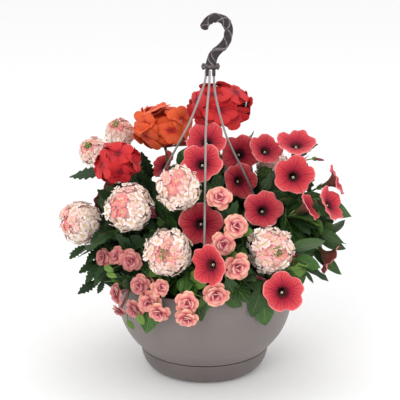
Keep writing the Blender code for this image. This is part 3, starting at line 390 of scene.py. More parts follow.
# Leaves that stand out at the basket's outline and over the bowl: kind, base, tip and width
SEEN_LEAVES = (
    ("verbena", (-160, -20, 177), (-180, -35, 164), 14), ("verbena", (-143, -45, 163), (-165, -60, 153), 15),
    ("verbena", (-141, -62, 142), (-166, -75, 129), 17), ("verbena", (-131, -80, 148), (-139, -86, 133), 11),
    ("verbena", (-137, -40, 181), (-155, -60, 167), 16), ("verbena", (-137, -58, 164), (-155, -78, 146), 17),
    ("verbena", (-124, -62, 173), (-143, -90, 145), 20), ("verbena", (-133, -30, 203), (-150, -50, 191), 14),
    ("petunia", (-129, -98, 174), (-116, -104, 170), 8), ("petunia", (-126, -100, 166), (-112, -106, 163), 8),
    ("petunia", (-99, -118, 109), (-90, -122, 98), 8), ("petunia", (-85, -128, 121), (-77, -130, 107), 9),
    ("petunia", (108, -40, 201), (142, -52, 184), 18), ("petunia", (127, -20, 190), (154, -28, 190), 14),
    ("petunia", (154, -15, 183), (189, -22, 174), 17), ("petunia", (144, 5, 164), (187, -10, 134), 19),
    ("petunia", (114, -70, 173), (126, -82, 142), 26), ("petunia", (98, -5, 237), (123, -12, 234), 16),
    ("petunia", (131, -60, 155), (143, -66, 140), 6), ("petunia", (26, -138, 172), (41, -134, 141), 20),
    ("petunia", (21, -132, 150), (49, -124, 130), 20), ("petunia", (72, -112, 151), (59, -117, 111), 23),
    ("petunia", (73, -106, 135), (80, -104, 94), 27), ("petunia", (-3, -136, 147), (1, -133, 126), 20),
    ("verbena", (-72, 48, 252), (-86, 40, 290), 17), ("pelargonium", (-44, 40, 246), (-38, 36, 274), 22),
    ("verbena", (-71, 10, 234), (-88, 0, 258), 16), ("verbena", (-74, 30, 240), (-92, 22, 267), 16),
    ("pelargonium", (-26, 60, 251), (-31, 58, 289), 22), ("verbena", (-103, -10, 248), (-122, -18, 261), 15),
    ("verbena", (-123, -10, 237), (-141, -20, 254), 15),
    ("petunia", (76, -10, 251), (87, -14, 268), 15), ("petunia", (104, -10, 230), (89, -14, 249), 15),
)
# Added leaves stay under a dome: how high at the axis, and how far it falls for each millimetre out
DOME = (340.0, 0.70)
# Closed buds that stand apart: base, tip
SEEN_BUDS = (((143, 2, 291), (158, 0, 289)), ((139, -14, 190), (136, -22, 204)))

# Camera and light: the eye in the bowl's frame, its fall in degrees, its lens and sensor in millimetres, how
# far the floor reaches in metres, then disk lights: place and size in metres, and watts
CAMERA_PLACE = np.array((-6.3, -1600.0, 696.0))
CAMERA_DOWN = 16.1
CAMERA_LENS = 112.1
CAMERA_SENSOR = 36.0
FLOOR_REACH = 7.0
SKY_STRENGTH = 1.0
LIGHTS_AIM = (0.0, 0.0, -0.25)
LIGHTS = (("key_light", (-0.9, -2.2, 1.1), 1.4, 16.0), ("fill_light", (1.5, -2.0, 0.3), 1.6, 8.0),
          ("top_light", (0.2, 0.5, 1.9), 1.4, 6.0))

# The planting, once layout() has worked it out
LAYOUT = []


# Geometry helpers


def heading(turn, lift):
    """Unit direction, turned from the front toward the right and lifted above level, in degrees."""
    around, above = math.radians(turn), math.radians(lift)
    return np.array((math.sin(around) * math.cos(above), -math.cos(around) * math.cos(above),
                     math.sin(above)))


def unit(vector):
    """The vector at length one."""
    return np.asarray(vector, float) / np.linalg.norm(vector)


def units(vectors):
    """Many vectors at length one, along their last axis."""
    return vectors / np.linalg.norm(vectors, axis=-1, keepdims=True)


def circle_turns(count):
    """Even turns round a circle, in radians."""
    return np.arange(count) * 2 * math.pi / count


def reaches(line):
    """How far along a line each of its places lies."""
    return np.concatenate(((0.0,), np.cumsum(np.linalg.norm(np.diff(line, axis=0), axis=1))))


def evenly(line, count):
    """A number of places spread evenly along a line."""
    reach = reaches(line)
    shares = np.linspace(0, reach[-1], count)
    return np.stack([np.interp(shares, reach, column) for column in line.T], axis=1)


def axes_along(out, spin=0.0):
    """Rows: the right, up and outward axes of a piece that faces along out, turned by spin radians."""
    out = unit(out)
    side = np.cross((0.0, 0.0, 1.0), out)
    if np.linalg.norm(side) < 0.05:
        side = np.array((1.0, 0.0, 0.0))
    side = unit(side)
    up = np.cross(out, side)
    return np.array((math.cos(spin) * side + math.sin(spin) * up,
                     math.cos(spin) * up - math.sin(spin) * side, out))


def golden_cap(count, widest):
    """Unit directions spread evenly over a cap about +Z that reaches widest degrees from its pole."""
    index = np.arange(count)
    rise = 1 - (index + 0.5) / count * (1 - math.cos(math.radians(widest)))
    around = index * math.radians(137.508)
    flat = np.sqrt(1 - rise ** 2)
    return np.stack((flat * np.cos(around), flat * np.sin(around), rise), axis=1)


def bezier(start, start_pull, end_pull, end, count):
    """Places along a cubic Bezier curve."""
    t = np.linspace(0, 1, count)[:, None]
    return ((1 - t) ** 3 * start + 3 * (1 - t) ** 2 * t * start_pull
            + 3 * (1 - t) * t ** 2 * end_pull + t ** 3 * end)


def along(line, share):
    """The place and the unit direction at a share of a line's length."""
    reach = reaches(line)
    place = np.array([np.interp(share * reach[-1], reach, column) for column in line.T])
    index = min(int(np.searchsorted(reach, share * reach[-1])), len(line) - 1) - 1
    return place, unit(line[max(index, 0) + 1] - line[max(index, 0)])


# Layout of the planting, in millimetres


def finer(line):
    """Places close together along a line."""
    return evenly(line, FINE_PLACES)


def all_blooms():
    """Every bloom as a dictionary: the ones in the table, then the rings of the hidden side."""
    blooms = []
    for kind, spray, across, deep, high, turn, lift, width in SEEN_BLOOMS:
        place = np.array((across, deep, high), float)
        blooms.append({"kind": kind, "spray": spray, "centre": place, "face": heading(turn, lift),
                       "radius": width / 2, "slide": unit(EYE - place), "seen": True})
    for ring, (kind, first, last, count, out, high, lift, width) in enumerate(HIDDEN_RINGS):
        for index in range(count):
            turn = first + (last - first) * index / (count - 1)
            place = out * heading(turn, 0) + np.array((0, 0, high + 9 * math.sin(2.4 * index + ring)))
            spray = f"{kind}_hidden_{ring}_{index}"
            blooms.append({"kind": kind, "spray": spray, "centre": place,
                           "face": heading(turn + 8 * math.sin(1.7 * index), lift),
                           "radius": width / 2, "slide": heading(turn, 0), "seen": False})
    for index, bloom in enumerate(blooms):
        bloom["spin"] = 0.4 + 1.3 * index
    return blooms


def bloom_samples(bloom):
    """Balls that fill a bloom, as places and radii in its own frame: a petunia's rim, middle and tube, a
    double's whorls and tube, or a head."""
    radius = bloom["radius"]
    around = np.linspace(0, 2 * math.pi, 12, endpoint=False)
    circle = np.stack((np.cos(around), np.sin(around), 0 * around), axis=1)
    if bloom["kind"] == "petunia":
        parts = [(circle * 0.90 * radius, 3.0), (circle[::2] * 0.55 * radius - (0, 0, 0.12 * radius), 5.0)]
        parts += [(np.array([(0, 0, -depth * radius)]), ball)
                  for depth, ball in ((0.34, 8.4), (0.55, 6.0), (0.78, 4.2), (1.0, 3.2), (1.2, 3.2))]
    elif bloom["kind"] == "double":
        parts = [(circle * 0.76 * radius, 0.28 * radius), (np.array([(0, 0, 0.04 * radius)]), 0.42 * radius),
                 (np.array([(0, 0, -0.5 * radius), (0, 0, -radius)]), 3.4)]
    else:
        parts = [(np.zeros((1, 3)), radius)]
    places = np.concatenate([place for place, _ in parts])
    radii = np.concatenate([np.full(len(place), ball) for place, ball in parts])
    return places, radii


def balls_of(bloom):
    """The same balls in the basket's frame."""
    places, radii = bloom_samples(bloom)
    return places @ axes_along(bloom["face"], bloom["spin"]) + bloom["centre"], radii


def strand_balls():
    """Balls along the three strands."""
    lines = []
    for points in STRANDS.values():
        line = np.array(points, float)
        lines.extend(along(line, share)[0] for share in np.linspace(0, 1, STRAND_PLACES))
    return np.array(lines), np.full(len(lines), STRAND_RADIUS)


def pot_clearance(places):
    """How far places lie from the bowl's wall, its rim and the soil."""
    out = np.hypot(places[:, 0], places[:, 1])
    high = places[:, 2]
    rim = np.hypot(np.maximum(np.abs(out - RIM_RADIUS + RIM_HALF) - 2 * RIM_HALF, 0),
                   np.maximum(high - RIM_TOP, 0))
    above = np.where(out < RIM_RADIUS - 2 * RIM_HALF, np.minimum(high - SOIL_CROWN, rim), rim)
    beside = np.where(out > RIM_RADIUS - RIM_HALF, out - RIM_RADIUS - RIM_HALF,
                      np.minimum(high - SOIL_CROWN, RIM_RADIUS - 3 * RIM_HALF - out))
    return np.where(high > RIM_TOP, above, beside)


def settle(blooms):
    """Move blooms of different sprays apart until none touches another.

    The seen ones only slide along the line of sight; the hidden ones move straight away.
    """
    strands, strand_radii = strand_balls()
    for _ in range(SETTLE_ROUNDS):
        moved = False
        balls = [balls_of(bloom) for bloom in blooms]
        for first, one in enumerate(blooms):
            own, own_radii = balls[first]
            reach = np.linalg.norm(own[:, None] - strands[None], axis=2) - own_radii[:, None] - strand_radii
            if reach.min() < STRAND_SPACE:
                one["centre"] -= one["slide"] * SETTLE_STEP
                moved = True
            if (pot_clearance(own) - own_radii).min() < POT_SPACE:
                one["centre"] += unit(one["centre"] * (1, 1, 0) + (0, 0, 60)) * SETTLE_STEP
                moved = True
            for second in range(first + 1, len(blooms)):
                two = blooms[second]
                other, other_radii = balls[second]
                apart = np.linalg.norm(one["centre"] - two["centre"])
                if one["spray"] == two["spray"] or apart > SETTLE_REACH:
                    continue
                space = (np.linalg.norm(own[:, None] - other[None], axis=2)
                         - own_radii[:, None] - other_radii[None]).min()
                if space > BLOOM_SPACE:
                    continue
                away = unit(one["centre"] - two["centre"])
                for bloom, sign, mate in ((one, 1, two), (two, -1, one)):
                    if not bloom["seen"]:
                        bloom["centre"] += sign * APART_STEP * away
                    elif mate["seen"]:
                        slide = bloom["slide"]
                        bloom["centre"] += math.copysign(SLIDE_STEP, sign * (away @ slide)) * slide
                moved = True
        if not moved:
            return


def sprays_of(blooms):
    """Blooms by spray, each with the foot that its stem meets and the direction of its stalk."""
    sprays = {}
    for bloom in blooms:
        sprays.setdefault(bloom["spray"], {"blooms": []})["blooms"].append(bloom)
    for spray in sprays.values():
        members = spray["blooms"]
        middle = np.mean([bloom["centre"] for bloom in members], axis=0)
        face = np.mean([bloom["face"] for bloom in members], axis=0)
        spread = max(np.linalg.norm(bloom["centre"] - middle) for bloom in members)
        kind = members[0]["kind"]
        if kind in FOOT_DEPTH:
            depth = FOOT_DEPTH[kind] + 0.5 * spread
            sink = 0.45 if middle[2] < 180 else 0.0
            spray["axis"] = unit(unit(face) - np.array((0, 0, sink)))
        else:
            depth = 0.66 * members[0]["radius"] + STALK_LENGTH
            spray["axis"] = unit(unit(face) + np.array((0, 0, 0.6)))
        spray["foot"] = middle - spray["axis"] * depth
    return sprays


def sectors_of(places):
    """The plants in whose ground places lie, and how far each place is from the border of that ground."""
    out = np.hypot(places[:, 0], places[:, 1])
    core = CORE_RADIUS + np.maximum(0.0, places[:, 2] - CORE_FROM) * CORE_SPREAD
    step = 2 * math.pi / SECTORS
    around = np.arctan2(places[:, 0], -places[:, 1]) % (2 * math.pi)
    index = (around // step).astype(int)
    side = np.minimum(around - index * step, (index + 1) * step - around)
    owners = np.where(out < core, SECTORS, index)
    return owners, np.where(out < core, core - out, np.minimum(out - core, out * np.sin(side)))


def sector_of(place):
    """The plant in whose ground a place lies."""
    return int(sectors_of(np.asarray(place)[None])[0][0])


def root_of(sector):
    """Where a plant's stems leave the soil."""
    if sector == SECTORS:
        return np.array((*ROOT_MIDDLE, SOIL_TOP))
    return ROOT_RING * heading((sector + 0.5) * 360 / SECTORS, 0) + np.array((0, 0, SOIL_TOP))


def room(places, sector, balls, radii, margin):
    """The least room round places that belong to a plant: less than nothing where they don't fit."""
    owners, borders = sectors_of(places)
    inside = np.where(owners == sector, borders, -BORDER).min() - BORDER
    if inside < -MARGIN_SHARE:
        return inside
    blooms = (np.linalg.norm(places[:, None] - balls[None], axis=2) - radii[None]).min()
    return min(inside, blooms - margin, pot_clearance(places).min() - margin)


def apart_from(places, lines):
    """The least distance from places to the points of some lines, which are given close together."""
    if not len(lines) or not len(places):
        return 99.0
    points = np.concatenate(lines)
    return np.linalg.norm(places[:, None] - points[None], axis=2).min()


def drawn(rng, span):
    """A random value of a span, given as its least and how much more."""
    least, more = span
    return least + more * rng.random()


def grow_stem(foot, axis, own, sector, grown, fines, balls, radii, rng):
    """A stem's centre line to the foot of its spray, from the plant's root or from a stem already grown.

    Of many tries the first that has room is taken, or else the one with most; later tries lean further.
    """
    root = root_of(sector) + CROWN_SPREAD * heading(137.5 * len(grown), 0) - np.array((0, 0, ROOT_DEPTH))
    best, best_room = None, NONE_YET
    for attempt in range(STEM_TRIES):
        start, rise, skip = root, np.array((0, 0, drawn(rng, ROOT_RISE))), 8
        if grown and attempt % 8:
            start, run = along(grown[rng.integers(len(grown))], drawn(rng, BRANCH_START))
            rise, skip = run * drawn(rng, BRANCH_RISE), 1
        lean = rng.normal(size=3) * STEM_LEAN * (attempt / STEM_TRIES) * (1, 1, 0.6)
        pull = foot - axis * drawn(rng, FOOT_PULL) + lean
        straight = np.linalg.norm(foot - start)
        points = 3 + sum(bool(straight > reach) for reach in LONG_STEMS)
        line = bezier(start, start + rise, pull, foot - axis * drawn(rng, CURVE_END), points)
        line = np.concatenate((line, [foot - axis * GAP]))
        length = np.linalg.norm(np.diff(line, axis=0), axis=1).sum()
        if straight < SHORTEST_STEM or length > STEM_DETOUR * straight:
            continue
        fine = finer(line)
        space = room(fine[skip:], sector, balls[~own], radii[~own], STEM_RADIUS + 1.0)
        if own.any():
            tested = fine[skip:][np.linalg.norm(fine[skip:] - foot, axis=1) > 7.5]
            space = min(space, room(tested, sector, balls[own], radii[own], STEM_RADIUS + 1.0))
        free = fine[8:][np.linalg.norm(fine[8:] - start, axis=1) > 20]
        if space > best_room and grown:
            space = min(space, apart_from(free, fines) - 2.6 * STEM_RADIUS)
        if space > best_room:
            best, best_room = line, space
        if space > 0:
            break
    return best, best_room


def leaf_kind(place, rng):
    """The kind of leaf that grows at a place: pelargonium on the crown, verbena to the left, else either."""
    turn = math.degrees(math.atan2(place[0], -place[1]))
    if math.hypot(place[0], place[1]) < CROWN_LEAVES[0] and place[2] > CROWN_LEAVES[1]:
        return "pelargonium"
    if VERBENA_TURNS[0] < turn < VERBENA_TURNS[1]:
        return "verbena"
    return "petunia" if rng.random() < PETUNIA_SHARE else "verbena"


def leaf_frame(direction, outward, roll):
    """Rows: along the leaf, across it and its upper side's normal, which leans outward."""
    direction = unit(direction)
    normal = outward - direction * (outward @ direction)
    normal = unit(normal)
    across = np.cross(normal, direction)
    normal = math.cos(roll) * normal + math.sin(roll) * across
    return np.array((direction, np.cross(normal, direction), normal))


def leaf_samples(kind, size):
    """Places spread over a leaf, in its own frame."""
    length, width, droop = (value * size for value in LEAF_KINDS[kind])
    share = np.array((0.2, 0.35, 0.5, 0.65, 0.8, 0.92, 1.0))
    half = 0.5 * width * np.array((0.6, 0.9, 1.0, 0.97, 0.8, 0.5, 0.0))
    places = []
    for side in (-1.0, -0.5, 0.0, 0.5, 1.0):
        places.append(np.stack((share * length, side * half, -droop / size * length * share ** 2), axis=1))
    return np.concatenate(places)


def hides(places, balls, radii):
    """For each leaf's places, whether any stands before the balls as the photograph's eye sees them."""
    near, far = places - EYE, balls - EYE
    near_depth, far_depth = np.linalg.norm(near, axis=-1), np.linalg.norm(far, axis=1)
    apart = np.linalg.norm((near / near_depth[..., None])[:, :, None] - far / far_depth[:, None], axis=3)
    return ((apart < radii / far_depth) & (near_depth[..., None] < far_depth)).any(axis=(1, 2))


def grow_leaves(line, own, others, sector, count, first, balls, radii, seen, placed, rng):
    """Leaves along one stem: of many tries for each, the one that lies furthest from the other leaves."""
    leaves = []
    for index in range(count):
        share = first + (LAST_LEAF - first) * (index + 0.6) / count
        base, run = along(line, share)
        kind = leaf_kind(base, rng)
        best, best_score = None, NONE_YET
        for _ in range(LEAF_TRIES):
            size = drawn(rng, LEAF_SIZE)
            tilt = math.radians(drawn(rng, LEAF_TILT))
            side = axes_along(run, 2 * math.pi * rng.random())[0]
            direction = unit(math.cos(tilt) * run + math.sin(tilt) * side)
            rise = OUTWARD_RISE * (base[2] - OUTWARD_FROM)
            outward = unit(base * (1, 1, 0) + np.array((0, 0, rise)) + 1e-6)
            if direction @ outward < LEAST_OUTWARD:
                continue
            frame = leaf_frame(direction, outward + LEAF_LOOSE * rng.normal(size=3), LEAF_ROLL * rng.normal())
            start = base + LEAF_SEAT * direction
            places = leaf_samples(kind, size) @ frame + start
            space = room(places, sector, balls, radii, LEAF_MARGIN)
            if (space < 0 or apart_from(places, others) < LEAF_SPACE
                    or apart_from(places, own) < OWN_STEM_SPACE):
                continue
            if hides(places[None], balls[:seen], radii[:seen])[0]:
                continue
            middle = places.mean(axis=0)
            near = [other for other in placed if np.linalg.norm(middle - other[0]) < LEAF_NEAR]
            if near and min(np.linalg.norm(places[:, None] - other[1][None], axis=2).min()
                            for other in near) < LEAF_SPACE:
                continue
            apart = min([LEAF_NEAR] + [np.linalg.norm(middle - other[0]) for other in near])
            score = apart + OUTWARD_WORTH * (direction @ outward)
            if score > best_score:
                best, best_score = (kind, size, start, frame, middle, places), score
        if best is None:
            continue
        placed.append(best[4:])
        leaves.append(best[:4])
    return leaves


def planting():
    """The whole layout: sprays, and for each plant its stems and leaves."""
    blooms = all_blooms()
    settle(blooms)
    sprays = sprays_of(blooms)
    rng = np.random.default_rng(SEED)
    ball_sets = [balls_of(bloom) for bloom in blooms]
    seen = sum(len(places) for places, _ in ball_sets[:len(SEEN_BLOOMS)])
    strands, strand_radii = strand_balls()
    balls = np.concatenate([places for places, _ in ball_sets] + [strands])
    radii = np.concatenate([sizes for _, sizes in ball_sets] + [strand_radii])
    owners = [bloom["spray"] for bloom, (places, _) in zip(blooms, ball_sets) for _ in places]
    owners += ["strand"] * len(strands)
    stalks = []
    for name, spray in sprays.items():
        stalks.extend(spray["foot"] + spray["axis"] * reach for reach in (1.0, 5.0, 10.0, 15.0))
        for bloom in spray["blooms"]:
            tail = bloom["centre"] - bloom["face"] * bloom["radius"] * 0.5
            stalks.extend(spray["foot"] + (tail - spray["foot"]) * part for part in (0.35, 0.55, 0.75))
        owners += [name] * (len(stalks) + len(balls) - len(owners))
    owners = np.array(owners)
    balls = np.concatenate((balls, np.array(stalks)))
    radii = np.concatenate((radii, np.full(len(stalks), 3.2)))
    plants = {index: {"stems": [], "fines": [], "bearing": [], "leaves": []} for index in range(SECTORS + 1)}
    placed = []
    ends = [(spray["foot"], spray["axis"], SPRAY_LEAVES, 0.5, name) for name, spray in sprays.items()]
    for turn, out, high in SHOOTS:
        tip = out * heading(turn, 0) + np.array((0, 0, high))
        axis = heading(turn, 25 if high > 200 else -25)
        ends.append((tip - axis * 26, axis, SHOOT_LEAVES, 0.35, f"shoot {turn}"))
    for foot, axis, count, first, name in ends:
        sector = sector_of(foot - axis * 6)
        grown = plants[sector]["stems"]
        line, space = grow_stem(foot, axis, owners == name, sector, grown, plants[sector]["fines"],
                                balls, radii, rng)
        if space < -MARGIN_SHARE:
            continue
        grown.append(line)
        plants[sector]["fines"].append(finer(line))
        plants[sector]["bearing"].append((count, first))
    for sector, plant in plants.items():
        for index, (line, (count, first)) in enumerate(zip(plant["stems"], plant["bearing"])):
            others = plant["fines"][:index] + plant["fines"][index + 1:]
            own = plant["fines"][index:index + 1]
            plant["leaves"] += grow_leaves(line, own, others, sector, count, first, balls, radii, seen,
                                           placed, rng)
    return sprays, plants


def strand_line(name):
    """A smooth centre line through a strand's places."""
    places = np.array(STRANDS[name], float)
    top = places[0] + (0, 0, STRAND_TOP - places[0][2])
    places = np.concatenate((top[None], places))
    reach = reaches(places)
    slopes = np.gradient(places, reach, axis=0)
    line = []
    for index in range(len(places) - 1):
        span = reach[index + 1] - reach[index]
        for t in (0.0, 0.5) if index % 2 else (0.0,):
            line.append((2 * t ** 3 - 3 * t ** 2 + 1) * places[index]
                        + (t ** 3 - 2 * t ** 2 + t) * span * slopes[index]
                        + (-2 * t ** 3 + 3 * t ** 2) * places[index + 1]
                        + (t ** 3 - t ** 2) * span * slopes[index + 1])
    line.append(places[-1])
    return np.array(line)


# Surfaces as whole arrays


class Surface:
    """Places in millimetres, faces, and two vectors a place: its mark, or where on its petal, and a tint."""

    def __init__(self):
        self.places, self.quads, self.triangles, self.marks, self.tints = [], [], [], [], []
        self.count = 0

    def add(self, places, quads, triangles, marks=None, tint=(0.0, 0.0, 0.0)):
        """Append one surface; its tint is one vector or one a place."""
        places = np.asarray(places, float).reshape(-1, 3)
        self.places.append(places)
        self.quads.append(np.asarray(quads, int).reshape(-1, 4) + self.count)
        self.triangles.append(np.asarray(triangles, int).reshape(-1, 3) + self.count)
        marks = np.zeros_like(places) if marks is None else np.asarray(marks, float).reshape(-1, 3)
        self.marks.append(marks)
        self.tints.append(np.broadcast_to(np.asarray(tint, float), places.shape))
        self.count += len(places)
        return self

    def take(self, other, moved):
        """Append all of another surface, its places passed through a function."""
        for places, quads, triangles, marks, tints in zip(other.places, other.quads, other.triangles,
                                                          other.marks, other.tints):
            shift = self.count - min(quads.min() if len(quads) else other.count,
                                     triangles.min() if len(triangles) else other.count)
            self.places.append(moved(places))
            self.quads.append(quads + shift)
            self.triangles.append(triangles + shift)
            self.marks.append(marks)
            self.tints.append(tints)
            self.count += len(places)


def band_faces(rows, columns, first_pole, last_pole):
    """Faces of closed rows of points: quads between rows, and a fan to a pole at each end.

    The places are the rows in order, then the pole before the first row, then the one after the last.
    """
    index = np.arange(rows * columns).reshape(rows, columns)
    beside = np.roll(index, -1, axis=1)
    quads = np.stack((index[:-1], index[1:], beside[1:], beside[:-1]), axis=-1).reshape(-1, 4)
    fans = []
    pole = rows * columns
    if first_pole:
        fans.append(np.stack((np.full(columns, pole), index[0], beside[0]), axis=-1))
        pole += 1
    if last_pole:
        fans.append(np.stack((np.full(columns, pole), beside[-1], index[-1]), axis=-1))
    triangles = np.concatenate(fans) if fans else np.zeros((0, 3), int)
    return quads, triangles


def turned_out(places, quads, triangles):
    """The faces, turned round if the closed surface that they make holds less than nothing."""
    corners = np.concatenate((triangles, quads[:, :3], quads[:, (0, 2, 3)]))
    a, b, c = (places[corners[:, side]] for side in range(3))
    if np.einsum("ij,ij->i", a, np.cross(b, c)).sum() < 0:
        return quads[:, ::-1], triangles[:, ::-1]
    return quads, triangles


def add_band(surface, rows, first_pole=None, last_pole=None, marks=None, pole_marks=None, tint=(0, 0, 0)):
    """Add closed rows of points (rows, columns, 3) with their poles, its faces turned outward."""
    poles = [pole for pole in (first_pole, last_pole) if pole is not None]
    places = np.concatenate([rows.reshape(-1, 3)] + [np.reshape(pole, (1, 3)) for pole in poles])
    quads, triangles = band_faces(rows.shape[0], rows.shape[1], first_pole is not None, last_pole is not None)
    quads, triangles = turned_out(places - places.mean(axis=0), quads, triangles)
    if marks is not None:
        ends = np.zeros((len(poles), 3)) if pole_marks is None else np.reshape(pole_marks, (-1, 3))
        marks = np.concatenate((marks.reshape(-1, 3), ends))
    if np.ndim(tint) > 1:
        tint = np.concatenate((tint.reshape(-1, 3), np.zeros((len(poles), 3))))
    surface.add(places, quads, triangles, marks, tint)


def lathe(surface, profile, turns):
    """A turned surface: each (out, high) of the profile carried once round the axis, closed at its poles.

    The first and last points of the profile lie on the axis.
    """
    profile = np.asarray(profile, float)
    around = circle_turns(turns)
    out, high = profile[1:-1, 0][:, None], profile[1:-1, 1][:, None]
    rows = np.stack((out * np.cos(around), out * np.sin(around), high + 0 * around), axis=-1)
    add_band(surface, rows, (0, 0, profile[0, 1]), (0, 0, profile[-1, 1]))


def rounded(points, cuts=2):
    """Corners cut off a line again and again, each edge a quarter from its ends (Chaikin's rule)."""
    line = np.asarray(points, float)
    for _ in range(cuts):
        near = 0.75 * line[:-1] + 0.25 * line[1:]
        far = 0.25 * line[:-1] + 0.75 * line[1:]
        inner = np.stack((near, far), axis=1).reshape(-1, line.shape[1])
        line = np.concatenate((line[:1], inner[1:-1], line[-1:]))
    return line


def side_axes(path):
    """Unit directions along a path, and two across it, from the row axis that the path follows least."""
    run = units(np.gradient(path, axis=0))
    guide = np.eye(3)[np.argmin(np.abs(run).sum(axis=0))]
    side = units(np.cross(run, guide))
    return run, side, np.cross(run, side)


def sweep(surface, path, radii, sides, tint=(0, 0, 0)):
    """A closed tube: a circle of the given radii carried along a path, with rounded ends.

    Its marks are the share of its length and the turn round it.
    """
    path = np.asarray(path, float)
    radii = np.broadcast_to(np.asarray(radii, float), len(path))
    run, side, up = side_axes(path)
    around = circle_turns(sides)
    ring = side[:, None] * np.cos(around)[None, :, None] + up[:, None] * np.sin(around)[None, :, None]
    rows = path[:, None] + ring * radii[:, None, None]
    share = np.linspace(0, 1, len(path))[:, None] + 0 * around
    marks = np.stack((share, around / (2 * math.pi) + 0 * share, 0 * share), axis=-1)
    add_band(surface, rows, path[0] - run[0] * radii[0] * 0.4, path[-1] + run[-1] * radii[-1] * 0.4, marks,
             [(0, 0, 0), (1, 0, 0)], tint)


def blades(surface, style, length, width, base, frames, tint, phase):
    """Many closed thin blades at once: leaves or petals, one for each row of base and frames.

    Along a blade t runs 0 to 1 and its half width is width/2 * sin(pi t^lean)^blunt. Round it the angle a,
    crowded toward the edges, gives v = cos a across and up to thick/2 * sin a above the middle sheet. With h
    the half width, the sheet's height is length (sag t^2 + ruffle t^2 |v| sin(waves v + 4t + phase))
    + h (fold |v| + curl v^2). A notch draws the tip back, and teeth draw every other ring's edges in.
    """
    rings, columns = style["rings"], style["columns"]
    t = 1 - (1 - (np.arange(1, rings + 1) / (rings + 1))) ** style.get("crowd", 1.0)
    angle = circle_turns(columns)
    angle = angle - 0.3 * np.sin(2 * angle)
    v, above = np.cos(angle)[None, :], np.sin(angle)[None, :]
    half = np.sin(math.pi * t ** style["lean"]) ** style["blunt"]
    half = half[:, None] + 0 * v
    if style.get("tooth"):
        parity = (np.arange(rings) % 2)[:, None]
        half = half * (1 - style["tooth"] * parity * np.abs(v) ** 3)
    t = t[:, None] + 0 * v
    long, wide = np.reshape(length, (-1, 1, 1)), np.reshape(width, (-1, 1, 1)) / 2
    phase = np.reshape(phase, (-1, 1, 1))
    forward = t * (1 - style.get("notch", 0.0) * (1 - np.abs(v)) ** 1.5 * t ** 5)
    parity = (np.arange(rings) % 2)[:, None]
    forward = forward + style.get("tooth", 0.0) * 0.25 * np.abs(v) ** 3 * parity / rings
    x = long * forward
    y = wide * half * v
    z = long * style.get("sag", 0.0) * t ** 2 + wide * half * (style.get("fold", 0.0) * np.abs(v)
                                                             + style.get("curl", 0.0) * v ** 2)
    ripple = np.sin(style.get("waves", 3.0) * v + 4 * t + phase)
    z = z + long * style.get("ruffle", 0.0) * t ** 2 * ripple * np.abs(v)
    z = z + 0.5 * style["thick"] * above * np.minimum(1.0, 6 * t * (1.02 - t) + 0.25)
    local = np.stack(np.broadcast_arrays(x, y, z), axis=-1)
    count = len(local)
    tip = np.zeros((count, 1, 3))
    tip[:, 0, 0] = long[:, 0, 0] * (1 - style.get("notch", 0.0))
    tip[:, 0, 2] = long[:, 0, 0] * style.get("sag", 0.0)
    local = np.concatenate((local.reshape(count, -1, 3), np.zeros((count, 1, 3)), tip), axis=1)
    quads, triangles = band_faces(rings, columns, True, True)
    quads, triangles = turned_out(local[0] - local[0].mean(axis=0), quads, triangles)
    size = local.shape[1]
    world = np.einsum("lpk,lkx->lpx", local, frames) + np.asarray(base)[:, None]
    step = (np.arange(count) * size)[:, None, None]
    side = np.sign(above) + 0 * t
    marks = np.stack((t, v + 0 * t, side), axis=-1).reshape(-1, 3)
    marks = np.concatenate((marks, ((0, 0, 0), (1, 0, 0))))
    tints = np.repeat(np.asarray(tint, float).reshape(-1, 1, 3), size, axis=1)
    surface.add(world, (quads[None] + step).reshape(-1, 4), (triangles[None] + step).reshape(-1, 3),
                np.tile(marks, (count, 1)), tints.reshape(-1, 3))


def frames_about(direction, normal):
    """For each row: along the blade, across it and its upper side's normal, squared to the direction."""
    along_it = units(direction)
    normal = units(normal - along_it * np.sum(normal * along_it, axis=-1, keepdims=True))
    return np.stack((along_it, np.cross(normal, along_it), normal), axis=-2)


def make_piece(name, surface, look, slot, stands_for=()):
    """An object from a surface, at the origin, that rides on the basket and stands for the given nodes.

    A petal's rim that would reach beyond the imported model's box is held at it.
    """
    places = np.clip((np.concatenate(surface.places) - HOOK_SEAT) * MM, *CAD_BOX)
    quads = np.concatenate(surface.quads)
    triangles = np.concatenate(surface.triangles)
    mesh = bpy.data.meshes.new(name)
    mesh.from_pydata(places.tolist(), [], quads.tolist() + triangles.tolist())
    for title, values in (("place", surface.marks), ("tint", surface.tints)):
        layer = mesh.attributes.new(title, "FLOAT_VECTOR", "POINT")
        layer.data.foreach_set("vector", np.concatenate(values).astype(np.float32).ravel())
    mesh.shade_smooth()
    mesh.set_sharp_from_angle(angle=SHARP_FROM)
    mesh.materials.append(look)
    thing = bpy.data.objects.new(name, mesh)
    bpy.context.scene.collection.objects.link(thing)
    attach(thing, "root")
    if stands_for:
        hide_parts(*stands_for)
    return thing


# Materials


def linear(colour):
    """An sRGB hex colour as linear red, green, blue and alpha."""
    levels = [int(colour[index:index + 2], 16) / 255 for index in (0, 2, 4)]
    levels = [level / 12.92 if level <= 0.04045 else ((level + 0.055) / 1.055) ** 2.4 for level in levels]
    return (*levels, 1.0)


